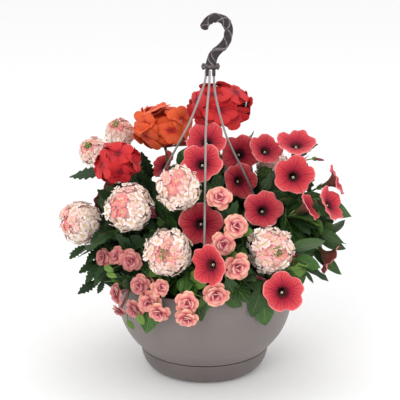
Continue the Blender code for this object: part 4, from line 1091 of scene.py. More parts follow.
def node(look, kind, inputs=(), give=0, stops=(), **settings):
    """Add a shader node: its properties, its inputs filled or linked, its ramp's stops; return an output."""
    made = look.node_tree.nodes.new("ShaderNode" + kind)
    for title, value in settings.items():
        setattr(made, title, value)
    for key, value in (inputs.items() if isinstance(inputs, dict) else enumerate(inputs)):
        if isinstance(value, bpy.types.NodeSocket):
            look.node_tree.links.new(value, made.inputs[key])
        else:
            made.inputs[key].default_value = linear(value) if isinstance(value, str) else value
    for index, (share, colour) in enumerate(stops):
        ramp = made.color_ramp.elements
        element = ramp[index] if index < 2 else ramp.new(share)
        element.position = share
        element.color = linear(colour) if isinstance(colour, str) else colour
    return made.outputs[give] if made.outputs else made


def new_look(name):
    """An empty material."""
    look = bpy.data.materials.new(name)
    look.use_nodes = True
    look.node_tree.nodes.clear()
    return look


def mixed(look, share, first, second, blend="MIX"):
    """Turn a colour into a second one by a share, or multiply it."""
    return node(look, "Mix", {0: share, 6: first, 7: second}, 2, data_type="RGBA", blend_type=blend)


def maths(look, operation, *values):
    """An operation on plain numbers."""
    return node(look, "Math", values, operation=operation)


def ranged(look, value, start, end, most=1.0, **settings):
    """A value carried from between start and end to between zero and most, and held there."""
    return node(look, "MapRange", {0: value, 1: start, 2: end, 4: most}, **settings)


def beats(look, value, rate):
    """The cosine of a value times a rate: lines side by side."""
    return maths(look, "COSINE", maths(look, "MULTIPLY", value, rate))


def noise(look, where, scale, detail, roughness=0.5):
    """A soft random pattern; its scale is patterns in a metre."""
    return node(look, "TexNoise", {"Vector": where, "Scale": scale, "Detail": detail, "Roughness": roughness})


def marked(look, title, parts):
    """The first parts of a vector that the mesh carries: its mark, named place, or its tint."""
    vector = node(look, "Attribute", attribute_name=title, give="Vector")
    return node(look, "SeparateXYZ", (vector,), slice(parts))


def finished(look, colour, height, depth_mm, **sockets):
    """Close a material: its height pattern as a bump of that depth, its shader's plain values, its output."""
    bump = node(look, "Bump", {"Strength": 1.0, "Distance": depth_mm * MM, "Height": height})
    values = {"Base Color": colour, "Normal": bump}
    values.update({title.replace("_", " "): value for title, value in sockets.items()})
    shader = node(look, "BsdfPrincipled", values)
    node(look, "OutputMaterial", {"Surface": shader})
    return look


def moulded_plastic(name, colour, dark, roughness):
    """Injection-moulded polypropylene: satin and a little cloudy, with a fine grain from the mould."""
    look = new_look(name)
    where = node(look, "TexCoord", give="Object")
    cloud = noise(look, where, 14.0, 3.0)
    tone = node(look, "ValToRGB", (cloud,), stops=((0.30, dark), (0.70, colour)))
    # The mould's grain is about 0.4 mm, drawn at 0.9 mm so that it shows
    grain = noise(look, where, 1100.0, 2.0)
    return finished(look, tone, grain, 0.05, Roughness=roughness, Specular_IOR_Level=0.4, IOR=1.49)


def ribbed_plastic():
    """The hook's polypropylene, matt: its colour runs with the relief, darkest in the grooves as painted
    shade and palest on the raised twigs, with random darker specks.
    """
    look = new_look("hook_polypropylene")
    where = node(look, "TexCoord", give="Object")
    *_, relief = marked(look, "place", 3)
    worn = noise(look, where, 300.0, 4.0, 0.7)
    level = maths(look, "MULTIPLY", relief, worn)
    # Painted shade: the colour darkens with the relief, to its darkest in the grooves
    tone = node(look, "ValToRGB", (relief,), stops=(
        (0.0, "362E30"), (1.0, "A69C9E"), (0.25, "4C4244"), (0.6, "746A6C")))
    speck = node(look, "ValToRGB", (worn,), stops=((0.35, "8E8486"), (0.7, "FFFFFF")))
    tone = mixed(look, 1.0, tone, speck, "MULTIPLY")
    return finished(look, tone, level, 0.3, Roughness=0.5, Specular_IOR_Level=0.4)


def potting_soil():
    """Damp peat: near black crumbs, wholly matt, with a few paler fibres."""
    look = new_look("potting_soil_peat")
    where = node(look, "TexCoord", give="Object")
    crumb = noise(look, where, 260.0, 6.0, 0.7)
    tone = node(look, "ValToRGB", (crumb,), stops=((0.3, "140D08"), (0.72, "6B4E36"), (0.55, "35241A")))
    return finished(look, tone, crumb, 2.0, Roughness=0.95, Specular_IOR_Level=0.2)


def petunia_petal():
    """Petunia petal: velvety coral red, paler at the rim, with dark veins that run from a near-black throat,
    partly its own dark colour and partly painted shade deep in the funnel.

    Marks: the place across the face as x and y at radius one, and the side, front above zero.
    Tint: x shifts the tone.
    """
    look = new_look("petunia_coral_petal")
    where = node(look, "TexCoord", give="Object")
    x, y, side = marked(look, "place", 3)
    shift, = marked(look, "tint", 1)
    flat = node(look, "CombineXYZ", (x, y, 0.0))
    out = node(look, "VectorMath", (flat,), "Value", operation="LENGTH")
    turn = maths(look, "ARCTAN2", y, x)
    blur = noise(look, where, 110.0, 2.0)
    swung = maths(look, "MULTIPLY_ADD", blur, 0.22, turn)
    # How far from a petal's midrib: 0 on it and 0.5 between two petals
    petal = maths(look, "MULTIPLY_ADD", swung, 2.5 / math.pi, 0.41)
    petal = maths(look, "PINGPONG", petal, 0.5)
    rib = ranged(look, petal, 0.085, 0.0)
    # Painted shade: a dark line along the crease where two petals meet
    crease_shade = ranged(look, petal, 0.43, 0.5, 0.7)
    fan = maths(look, "DIVIDE", petal, maths(look, "ADD", out, 0.35))
    side_veins = ranged(look, beats(look, fan, 36.0), 0.25, 1.0, 0.75)
    fine = ranged(look, beats(look, swung, 85.0), 0.1, 1.0, 0.24)
    # The veins mask gathers the real veins and the painted crease shade; it darkens the colour and sinks the
    # bump
    veins = maths(look, "MAXIMUM", rib, crease_shade)
    veins = maths(look, "MAXIMUM", veins, side_veins)
    veins = maths(look, "MAXIMUM", veins, fine)
    fade = ranged(look, out, 1.02, 0.55, 0.85)
    veins = maths(look, "MULTIPLY", veins, fade)
    # The near-black stops at the middle are partly the throat's own dark colour and partly painted shade in
    # the funnel
    tone = node(look, "ValToRGB", (out,), stops=(
        (0.10, "0C0505"), (1.0, "F09A9A"), (0.15, "1E100C"), (0.21, "4E3A20"), (0.25, "6A1228"),
        (0.36, "A81E38"), (0.60, "CC3643"), (0.92, "D75256")))
    tone = mixed(look, veins, tone, "7A0C2C")
    pale = mixed(look, shift, "FFFFFF", "F4B4B0")
    tone = mixed(look, 0.5, tone, pale, "MULTIPLY")
    back = node(look, "ValToRGB", (out,), stops=(
        (0.12, "5A4A28"), (1.0, "D9808A"), (0.4, "8A4A40"), (0.85, "B0584E")))
    back = mixed(look, fine, back, "4A1822")
    front = maths(look, "GREATER_THAN", side, 0.0)
    tone = mixed(look, front, back, tone)
    return finished(look, tone, veins, -0.5, Roughness=0.55, Specular_IOR_Level=0.2, Sheen_Weight=0.05,
                    Sheen_Roughness=0.4)


def floret_petal(name, young, old, edge, eye, shadow):
    """A head's floret petal: soft and matt, its colour running from young florets to old ones. Toward its
    base
    it darkens: the verbena's own pink flush and yellow eye, and on pelargoniums painted shade where petals
    meet.

    Marks: t along the petal, v across it, and the side. Tint: x is age, y a random tone.
    """
    look = new_look(name)
    t, v = marked(look, "place", 2)
    age, shift = marked(look, "tint", 2)
    body = mixed(look, age, young, old)
    outer = ranged(look, t, 0.6, 1.0)
    body = mixed(look, outer, body, edge, "MULTIPLY")
    dim = maths(look, "MULTIPLY", shift, 0.28)
    body = mixed(look, dim, body, shadow)
    # Toward the base the colour runs to the shadow colour: the verbena's own pink flush, and painted shade on
    # pelargoniums
    base_flush_and_shade = ranged(look, t, 0.62, 0.20, 0.55)
    body = mixed(look, base_flush_and_shade, body, shadow)
    # The eye colour at the very base: verbena's real yellow eye, and on pelargoniums a dark red that is
    # painted shade
    inner = ranged(look, t, 0.30, 0.12)
    body = mixed(look, inner, body, eye)
    vein = ranged(look, beats(look, v, 15.0), 0.3, 1.0, 0.16)
    body = mixed(look, vein, body, shadow)
    return finished(look, body, vein, -0.6, Roughness=0.6, Specular_IOR_Level=0.2, Sheen_Weight=0.05)


def ruffled_petal():
    """Double calibrachoa petal: peach at its edge, rose inside, and deep plum at the middle, partly its own
    colour and partly painted shade in the folds.

    Marks: t along the petal, v across it, and the side. Tint: x is the whorl, 0 outside and 1 inside,
    y a random tone and z how much painted shade darkens it.
    """
    look = new_look("double_calibrachoa_petal")
    t, v = marked(look, "place", 2)
    whorl, shift, painted_shade = marked(look, "tint", 3)
    # The near-black plum at t = 0 is partly the petal's deep centre and partly painted shade in the folds
    peach = node(look, "ValToRGB", (t,), stops=(
        (0.0, "4C0E22"), (1.0, "FFDFC2"), (0.42, "B84458"), (0.64, "EE968A"), (0.84, "F8B496")))
    rose = node(look, "ValToRGB", (t,), stops=(
        (0.0, "440A20"), (1.0, "FCD4C4"), (0.44, "B04058"), (0.72, "EC9A98")))
    tone = mixed(look, whorl, peach, rose)
    rosy = maths(look, "MULTIPLY", shift, 0.25)
    tone = mixed(look, rosy, tone, "E86A76")
    # Painted shade: doubles to the left, and every tube, darken toward a mauve
    tone = mixed(look, painted_shade, tone, "A24C5A")
    vein = ranged(look, beats(look, v, 20.0), 0.2, 1.0, 0.25)
    tone = mixed(look, vein, tone, "B04058")
    return finished(look, tone, vein, -0.6, Roughness=0.6, Specular_IOR_Level=0.2, Sheen_Weight=0.1)


def leaf_blade(name, dark, fresh, vein_colour, roughness, spacing, depth):
    """A leaf: waxy skin over green flesh, sunk side veins and a pale midrib; its underside is paler.

    Marks: t along the leaf, v across it, and the side. Tint: x is a random tone, y how young it is.
    """
    look = new_look(name)
    where = node(look, "TexCoord", give="Object")
    t, v, side = marked(look, "place", 3)
    shade, young = marked(look, "tint", 2)
    across = maths(look, "ABSOLUTE", v)
    rib = ranged(look, across, 0.10, 0.02)
    slant = maths(look, "MULTIPLY_ADD", across, -0.30, t)
    veins = ranged(look, beats(look, slant, spacing * 2 * math.pi), 0.72, 1.0, 0.6,
                   interpolation_type="SMOOTHSTEP")
    veins = maths(look, "MAXIMUM", rib, veins)
    body = mixed(look, shade, dark, fresh)
    cloud = noise(look, where, 150.0, 3.0)
    cloud = ranged(look, cloud, 0.4, 0.75, 0.5)
    body = mixed(look, cloud, body, dark)
    body = mixed(look, young, body, "7CA244")
    lined = maths(look, "MULTIPLY", veins, 0.34)
    body = mixed(look, lined, body, vein_colour)
    under = ranged(look, side, 0.0, -0.8, 0.5)
    body = mixed(look, under, body, "5E7650")
    # Skin cells are too fine to show, so they are drawn at about 1 mm
    cells = noise(look, where, 900.0, 2.0)
    height = maths(look, "MULTIPLY_ADD", cells, 0.25, maths(look, "SUBTRACT", 0.0, veins))
    return finished(look, body, height, depth, Roughness=roughness, Specular_IOR_Level=0.32, Coat_Weight=0.03,
                    Coat_Roughness=0.35)


def green_stem():
    """Soft green stems, a little hairy and so wholly matt, brown where they leave the soil.

    Tint: x is how brown, y how young.
    """
    look = new_look("green_stem")
    where = node(look, "TexCoord", give="Object")
    brown, young = marked(look, "tint", 2)
    streak = noise(look, where, 320.0, 3.0)
    body = node(look, "ValToRGB", (streak,), stops=((0.3, "2E4A20"), (0.7, "54762F")))
    body = mixed(look, brown, body, "4A3424")
    body = mixed(look, young, body, "86A850")
    return finished(look, body, streak, 0.4, Roughness=0.7, Specular_IOR_Level=0.3, Sheen_Weight=0.15)


def stem_look():
    """The green stems' material, made when it is first asked for."""
    return bpy.data.materials.get("green_stem") or green_stem()


def flower_bud():
    """Closed buds: dusky maroon with paler ridges, green at the base."""
    look = new_look("flower_bud_skin")
    t, v = marked(look, "place", 2)
    ridge = ranged(look, beats(look, v, 31.4), -1.0, 1.0)
    body = mixed(look, ridge, "4E1620", "96404A")
    base = ranged(look, t, 0.3, 0.1)
    body = mixed(look, base, body, "3E5A28")
    return finished(look, body, ridge, 0.5, Roughness=0.6, Specular_IOR_Level=0.3)


def pollen():
    """Stigmas and stamens: moist cream with a little green."""
    look = new_look("stigma_cream")
    where = node(look, "TexCoord", give="Object")
    grain = noise(look, where, 1500.0, 2.0)
    tone = node(look, "ValToRGB", (grain,), stops=((0.3, "B9AE7C"), (0.6, "F4EFD6")))
    return finished(look, tone, grain, 0.2, Roughness=0.4, Specular_IOR_Level=0.4)


def pale_floor():
    """A plain pale studio floor of painted board."""
    look = new_look("studio_floor")
    where = node(look, "TexCoord", give="Object")
    grain = noise(look, where, 60.0, 3.0)
    tone = node(look, "ValToRGB", (grain,), stops=((0.2, "F9F9F8"), (0.8, "FCFCFB")))
    return finished(look, tone, grain, 0.05, Roughness=0.9, Specular_IOR_Level=0.1)


# Bowl, saucer, soil, hook and strands


def resampled(line, step):
    """Places a given step apart along a line of two or three columns."""
    return evenly(line, max(3, int(reaches(line)[-1] / step)))


def bowl_surface():
    """The bowl's turned skin: a coved side, a plain band at the rim, and a fine line round the cove."""
    surface = Surface()
    side = resampled(rounded(BOWL_OUTSIDE, 3), 1.0)
    foot = rounded(((0, 31.0), (84.0, 31.0), (87.6, 31.6), BOWL_OUTSIDE[0]), 2)
    band = rounded(((122.6, 119.2), (124.4, 119.9), (124.7, 121.5), (125.0, 129.0), (125.0, 136.4),
                    (124.3, RIM_TOP), (122.8, RIM_TOP), (122.2, 136.2), (121.7, 132.0)), 2)
    inside = rounded(((121.2, 130.0), (119.0, 116.0), (113.5, 80.0), (106.0, 62.0), (80.0, 34.0),
                      (0.0, 34.0)), 2)
    profile = np.concatenate((foot, side, band, inside))
    cove = np.where(profile[:, 0] > 100, np.exp(-((profile[:, 1] - COVE_LINE) / 0.8) ** 2), 0.0)
    outer = np.arange(len(profile)) < len(foot) + len(side)
    profile[:, 0] -= 0.45 * cove * outer
    lathe(surface, profile, LATHE_TURNS)
    return surface


def saucer_surface():
    """The saucer's turned skin: a rolled lip, a curved side and a foot ring."""
    surface = Surface()
    outside = rounded(((0, 1.2), (60.0, 1.2), (62.0, 0.0), (69.0, 0.0), (80.0, 7.5), (85.0, 17.0),
                       (87.0, 26.0), (87.4, 29.6), (87.0, SAUCER_TOP), (85.4, SAUCER_TOP), (84.9, 29.0)), 3)
    inside = rounded(((84.6, 27.0), (82.0, 17.0), (68.0, 2.6), (0.0, 2.6)), 2)
    lathe(surface, np.concatenate((outside, inside)), LATHE_TURNS)
    return surface


def soil_surface():
    """Soil: a level bed crossed by waves of four lengths with fine crumbs, and a plain side and floor."""
    surface = Surface()
    rng = np.random.default_rng(SEED)
    around = circle_turns(SOIL_TURNS)
    out = np.linspace(1.5, BOWL_INSIDE[-1][0] - SOIL_GAP, SOIL_RINGS)[:, None]
    x, y = out * np.cos(around), out * np.sin(around)
    bed = SOIL_CROWN - 2.4 - 3.6 * (out / 119) ** 4 + 0 * x
    bed = bed + 0.8 * np.sin(0.11 * x + 1) * np.sin(0.13 * y) + 0.5 * np.sin(0.31 * x + 0.2 * y)
    bed = bed + 0.4 * np.sin(0.36 * y - 0.27 * x + 2) + 0.5 * rng.normal(size=x.shape).clip(-1.5, 1.5)
    side = np.array([(wall - SOIL_GAP, high) for wall, high in BOWL_INSIDE])[::-1]
    below = [np.stack((wall * np.cos(around), wall * np.sin(around), high + 0 * around), axis=-1)
             for wall, high in side]
    rows = np.concatenate((np.stack((x, y, bed), axis=-1), np.stack(below)))
    add_band(surface, rows, (0, 0, bed[0].mean()), (0, 0, side[-1][1]))
    return surface


def twig(value, width):
    """A ridge along the turns where value is a whole number of circles."""
    wrapped = (value + math.pi) % (2 * math.pi) - math.pi
    return np.exp(-(wrapped / width) ** 2)


def hook_surface(twig_height):
    """The moulded hook: a flattened band along its line, crossed by raised twigs, with a collar and two tabs.

    Round the band the turn is a and along it the reach is s. Two twigs wind one way and two the other,
    ridges of twig_height where a -+ 2 pi s / TWIG_PITCH is a whole turn, and two run along the edges.
    """
    surface = Surface()
    flat = rounded(np.array(HOOK_LINE, float), 3)
    widths = np.interp(np.linspace(0, 1, len(flat)), np.linspace(0, 1, len(HOOK_WIDTHS)), HOOK_WIDTHS)
    line = resampled(np.column_stack((flat[:, 0], 0 * flat[:, 0], flat[:, 1], widths)), HOOK_STEP)
    path, wide = line[:, :3], line[:, 3][:, None]
    across = np.cross(units(np.gradient(path, axis=0)), (0.0, 1.0, 0.0))
    turn = circle_turns(HOOK_TURNS)
    reach = (np.arange(len(path)) * HOOK_STEP)[:, None]
    swing = 0.35 * np.sin(reach / 9)
    relief = np.maximum.reduce([
        twig(turn + 2 * math.pi * reach / TWIG_PITCH + swing, 0.22),
        twig(turn - 2 * math.pi * reach / TWIG_PITCH + 0.8, 0.22),
        twig(turn + math.pi + 2 * math.pi * reach / (1.3 * TWIG_PITCH), 0.18),
        twig(turn + math.pi - 2 * math.pi * reach / (1.2 * TWIG_PITCH) + swing, 0.18),
        0.8 * twig(turn - 0.5, 0.16) + 0 * reach, 0.8 * twig(turn - math.pi + 0.5, 0.16) + 0 * reach,
    ])
    ends = np.sqrt(np.clip(np.minimum(reach + 0.3, reach[-1] + 0.3 - reach) / 3.2, 0, 1))
    grow = (wide + twig_height * (relief - 0.75)) * ends
    deep = (HOOK_FLATNESS * np.minimum(wide, HOOK_RADIUS) + twig_height * (relief - 0.75)) * ends
    square = [np.abs(value) ** 0.8 * np.sign(value) for value in (np.cos(turn), np.sin(turn))]
    rows = (path[:, None] + across[:, None] * (grow * square[0])[..., None]
            + np.array((0.0, 1.0, 0.0)) * (deep * square[1])[..., None])
    marks = np.stack((reach / reach[-1] + 0 * turn, turn + 0 * reach, relief), axis=-1)
    add_band(surface, rows, path[0], path[-1], marks, [(0, 0, 0.5), (1, 0, 0.5)])
    x, y = COLLAR_MIDDLE
    high = COLLAR_TOP - 0.5 * COLLAR_SIZE[2]
    bar = np.linspace(-1, 1, 41)
    knob = 3.3 + 0.9 * np.exp(-((np.abs(bar) - 0.86) / 0.13) ** 2) + 0.9 * (1 - bar ** 2)
    knob = knob * np.sqrt(np.clip((1.03 - np.abs(bar)) / 0.12, 0, 1))
    collar = Surface()
    path = np.column_stack((x + 0.5 * (COLLAR_SIZE[0] + 1.4) * bar, y + 0 * bar, high + 0 * bar))
    sweep(collar, path, knob, 24)
    body = collar.places[0]
    worn = 0.45 + 0.35 * np.sin(0.9 * body[:, 0]) * np.sin(1.3 * body[:, 2])
    body[:, 1] *= 1.25
    marks = np.stack((0 * worn, 0 * worn, worn), axis=1)
    surface.add(body, collar.quads[0], collar.triangles[0], marks)
    # The throat's tabs take the grooves' dark tone: painted shade under the collar
    for middle, thick in THROAT_TABS:
        add_box(surface, (middle, 0.0, THROAT_BOTTOM + 4.6), (thick, 8.0, 9.0), mark=(0, 0, 0.12))
    return surface


def add_box(surface, middle, size, turn=0.0, power=0.28, mark=(0, 0, 0.5)):
    """A box with soft edges: a superellipsoid, whose sines and cosines are drawn toward one by a power."""
    rise = np.linspace(-math.pi / 2, math.pi / 2, 17)[1:-1, None]
    around = circle_turns(32) + math.pi / 32
    soft = [np.sign(value) * np.abs(value) ** power
            for value in (np.cos(rise), np.sin(rise), np.cos(around), np.sin(around))]
    rows = np.stack((soft[0] * soft[2], soft[0] * soft[3], soft[1] + 0 * around), axis=-1)
    rows = rows * np.array(size) / 2
    spin = np.array(((math.cos(turn), math.sin(turn), 0), (-math.sin(turn), math.cos(turn), 0), (0, 0, 1)))
    low, top = np.array((0, 0, -size[2] / 2)), np.array((0, 0, size[2] / 2))
    marks = np.broadcast_to(np.array(mark, float), rows.shape)
    add_band(surface, rows @ spin + middle, low + middle, top + middle, marks, [mark, mark])


def add_ball(surface, middle, size, frame=None, mark=(0, 0, 0), tint=(0, 0, 0), rows=5, columns=8):
    """An ellipsoid of three half sizes, along the rows of a frame."""
    rise = (np.arange(1, rows + 1) / (rows + 1) - 0.5)[:, None] * math.pi
    around = circle_turns(columns)
    ring = np.stack((np.cos(rise) * np.cos(around), np.cos(rise) * np.sin(around),
                     np.sin(rise) + 0 * around), axis=-1)
    frame = np.eye(3) if frame is None else np.asarray(frame)
    scaled = np.array(size, float)[:, None] * frame
    marks = np.broadcast_to(np.array(mark, float), ring.shape)
    add_band(surface, ring @ scaled + middle, middle - scaled[2], middle + scaled[2], marks, [mark, mark],
             tint)


def strand_surface(name):
    """A strand: a round cord along its line, and the clip of two cheeks and a bridge that grips the rim."""
    surface = Surface()
    line = resampled(rounded(strand_line(name), 2), 3.0)
    sweep(surface, line[:-1], STRAND_RADIUS, 12)
    x, y, _ = line[-1]
    turn = math.atan2(x, -y)
    outward = np.array((math.sin(turn), -math.cos(turn), 0.0))
    wide, _, tall = CLIP_SIZE
    for out, thick in CLIP_CHEEKS:
        add_box(surface, outward * out + (0, 0, RIM_TOP + 0.2), (wide, thick, tall - 1.0), turn, 0.3)
    add_box(surface, outward * (RIM_RADIUS - 1.6) + (0, 0, RIM_TOP + 3.2), (wide, 8.6, 4.4), turn, 0.35)
    return surface


# Blooms


def petunia(surface, bloom, foot, phase, tone):
    """A petunia: one closed surface, from the throat out over the face to the rim and back to the foot.

    The profile turns round the face's axis. Over the face it lies at -FACE_DEPTH (1 - out)^1.6, inside the
    throat it falls another 0.5 (1 - out / THROAT_RADIUS), and past 0.9 out it turns back by 3 (out - 0.9)^2.
    With n = ((1 + cos 5a) / 2)^3, largest between two petals, and limb the share of the way to the rim, the
    rim draws in by 0.15 n limb^2, sinks by 0.13 n limb^2 and waves by 0.06 sin(4a + phase) limb^2 and
    0.035 sin(13a + 2 phase) limb^4. The foot is where the tube ends.
    """
    radius = bloom["radius"]
    frame = axes_along(bloom["face"], bloom["spin"])
    end = (foot - bloom["centre"]) @ frame.T
    around = circle_turns(PETUNIA_TURNS)
    out = np.array(PETUNIA_OUT)
    deep = -FACE_DEPTH * (1 - out) ** 1.6 - 0.5 * np.maximum(1 - out / THROAT_RADIUS, 0)
    deep = deep - 3.0 * np.maximum(out - 0.9, 0) ** 2
    front = np.column_stack((out, deep))
    shell = front[:6:-1] - np.column_stack((0.01 + 0 * out[7:], 0.022 + 0.05 * (1 - out[:6:-1])))
    foot_depth = -end[2] / radius
    tail = np.array(((0.31, 0.0), (0.235, 0.12), (0.175, 0.28), (0.13, 0.5), (0.095, 0.75), (0.065, 0.98)))
    tail[:, 1] = -0.42 - tail[:, 1] * (foot_depth - 0.42)
    profile = np.concatenate((front, shell, tail))
    out, deep = profile[:, 0][:, None], profile[:, 1][:, None]
    limb = np.clip((out - 0.2) / 0.8, 0, 1)
    notch = ((1 + np.cos(5 * around)) / 2) ** 3
    reach = out * (1 - 0.15 * notch * limb ** 2 + 0.03 * np.sin(2 * around + phase) * limb)
    sink = (-0.13 * notch + 0.06 * np.sin(4 * around + phase)) * limb ** 2
    sink = sink + 0.035 * np.sin(13 * around + 2 * phase) * limb ** 4
    sink = sink - 0.02 * np.maximum(np.cos(10 * around), 0) ** 6 * limb * (1 - limb) * 4
    bend = np.clip((-deep - 0.40) / (foot_depth - 0.40), 0, 1) ** 1.3
    rows = np.stack((reach * np.cos(around) * radius + bend * end[0],
                     reach * np.sin(around) * radius + bend * end[1], (deep + sink) * radius), axis=-1)
    side = np.where(np.arange(len(profile)) < len(front), 1.0, -1.0)[:, None]
    marks = np.stack((out * np.cos(around), out * np.sin(around), side + 0 * around), axis=-1)
    inner = np.array((bend[0, 0] * end[0], bend[0, 0] * end[1], deep[0, 0] * radius - 0.5))
    add_band(surface, rows @ frame + bloom["centre"], inner @ frame + bloom["centre"], foot, marks,
             [(0, 0, 1), (0, 0, -1)], np.broadcast_to(np.array((tone, 0, 0)), rows.shape))


def turned_bloom(bloom):
    """A petunia's bloom, its face turned, lifted and moved as PETUNIAS_TURNED and PETUNIAS_MOVED say."""
    turn, lift = PETUNIAS_TURNED.get(bloom["spray"], (0, 0))
    x, y, z = bloom["face"]
    around = math.degrees(math.atan2(x, -y)) + turn
    title = bloom["spray"]
    if title + "_2" in PETUNIAS_MOVED and bloom["radius"] < SMALL_PETUNIA:
        title += "_2"
    return {**bloom, "centre": bloom["centre"] + PETUNIAS_MOVED.get(title, (0, 0, 0)),
            "face": heading(around, min(STEEPEST_FACE, math.degrees(math.asin(z)) + lift))}


def stigma(surface, bloom):
    """The pale stigma in a petunia's throat, with four stamens round it."""
    radius = bloom["radius"]
    frame = axes_along(bloom["face"], bloom["spin"])
    for index in range(5):
        out, deep, size = (0.0, 0.36, 1.15) if index == 0 else (0.05 * radius, 0.42, 0.7)
        turn = 0.6 + index * math.pi / 2
        middle = np.array((out * math.cos(turn), out * math.sin(turn), -deep * radius))
        add_ball(surface, middle @ frame + bloom["centre"], (size, size, size * 0.8), frame)


def calyx(surface, foot, axis, kind, rng):
    """Narrow sepals that clasp a bloom's tube or a bud from its foot."""
    length = SEPAL_LENGTH[kind]
    ring = axes_along(axis, PHASES * rng.random())
    turn = circle_turns(SEPALS)
    out = np.cos(turn)[:, None] * ring[0] + np.sin(turn)[:, None] * ring[1]
    run = axis * math.cos(0.42) + out * math.sin(0.42)
    blades(surface, SEPAL, np.full(SEPALS, length), np.full(SEPALS, 0.28 * length),
           foot + out * 1.2 - axis * 1.0, frames_about(run, axis - out * 0.4),
           np.tile((0.0, 0.35, 0.0), (SEPALS, 1)), np.zeros(SEPALS))


def double_bloom(surface, bloom, foot, rng, painted_shade):
    """A double calibrachoa on its tube: four whorls of ruffled petals, flat outside and upright inside."""
    radius = bloom["radius"]
    frame = axes_along(bloom["face"], bloom["spin"])
    for whorl, (count, length, width, lift, low) in enumerate(DOUBLE_WHORLS):
        turn = circle_turns(count) + 0.7 * whorl + 0.12 * rng.normal(size=count)
        tilt = np.radians(lift + 6 * rng.normal(size=count))
        flat = np.column_stack((np.cos(turn), np.sin(turn), 0 * turn))
        run = flat * np.cos(tilt)[:, None] + np.array((0, 0, 1.0)) * np.sin(tilt)[:, None]
        up = np.array((0, 0, 1.0)) * np.cos(tilt)[:, None] - flat * np.sin(tilt)[:, None]
        base = flat * 0.05 * radius + np.array((0, 0, low * radius))
        size = radius * length * (1 + 0.06 * rng.normal(size=count)).clip(0.85, 1.04)
        tints = np.column_stack((np.full(count, whorl / 3), rng.random(count), np.full(count, painted_shade)))
        blades(surface, RUFFLED, size, radius * width * np.ones(count), base @ frame + bloom["centre"],
               frames_about(run @ frame, up @ frame), tints, PHASES * rng.random(count))
    start = bloom["centre"] - 0.02 * radius * bloom["face"]
    middle = bloom["centre"] - 0.55 * radius * bloom["face"]
    path = rounded(np.array((start, middle, foot)), 2)
    widths = np.interp(np.linspace(0, 1, len(path)), (0, 0.25, 0.6, 1),
                       (0.26 * radius, 0.15 * radius, 1.8, 1.3))
    tube = Surface()
    sweep(tube, path, widths, 14)
    marks = np.tile((0.7, 0.0, -1.0), (tube.count, 1))
    # The tube always takes at least 0.6 of the painted shade
    surface.add(tube.places[0], tube.quads[0], tube.triangles[0], marks, (0.0, 0.5, max(painted_shade, 0.6)))


def florets(surface, style, centres, normals, spins, length, width, lift, ages, rng):
    """Five petals for each floret, round its normal from its centre, lifted by an angle."""
    count = len(centres)
    first = units(np.cross(normals, (0.31, 0.2, 0.93)))
    second = np.cross(normals, first)
    turn = spins[:, None] + circle_turns(PETALS) + 0.10 * rng.normal(size=(count, PETALS))
    flat = (np.cos(turn)[..., None] * first[:, None] + np.sin(turn)[..., None] * second[:, None])
    tilt = lift + 0.11 * rng.normal(size=(count, PETALS, 1))
    run = flat * np.cos(tilt) + normals[:, None] * np.sin(tilt)
    up = normals[:, None] * np.cos(tilt) - flat * np.sin(tilt)
    base = centres[:, None] + flat * 0.05 * length
    size = length * (1 + 0.07 * rng.normal(size=(count, PETALS))).clip(0.85, 1.08)
    shift = np.repeat(rng.random(count)[:, None], PETALS, axis=1) * 0.6 + 0.4 * rng.random((count, PETALS))
    tints = np.stack((np.repeat(ages[:, None], PETALS, axis=1), shift, 0 * shift), axis=-1)
    blades(surface, style, size.ravel(), (size * width).ravel(), base.reshape(-1, 3),
           frames_about(run.reshape(-1, 3), up.reshape(-1, 3)), tints.reshape(-1, 3),
           PHASES * rng.random(count * PETALS))


def head_florets(bloom, count, cover, sunk, uneven, loose, rng):
    """Centres, normals and slants of florets spread over a round head, the normals loosely outward.

    They cover so many degrees from its pole and lie below its surface by the share sunk, and unevenly more.
    """
    frame = axes_along(bloom["face"], bloom["spin"])
    spread = golden_cap(count, cover)
    spread = units(spread + 0.06 * rng.normal(size=spread.shape))
    deep = sunk + uneven * rng.random(count)
    centres = bloom["centre"] + spread @ frame * (bloom["radius"] * (1 - deep))[:, None]
    normals = spread @ frame + loose * rng.normal(size=spread.shape)
    slant = np.arccos(spread[:, 2].clip(-1, 1))
    return centres, units(normals), slant


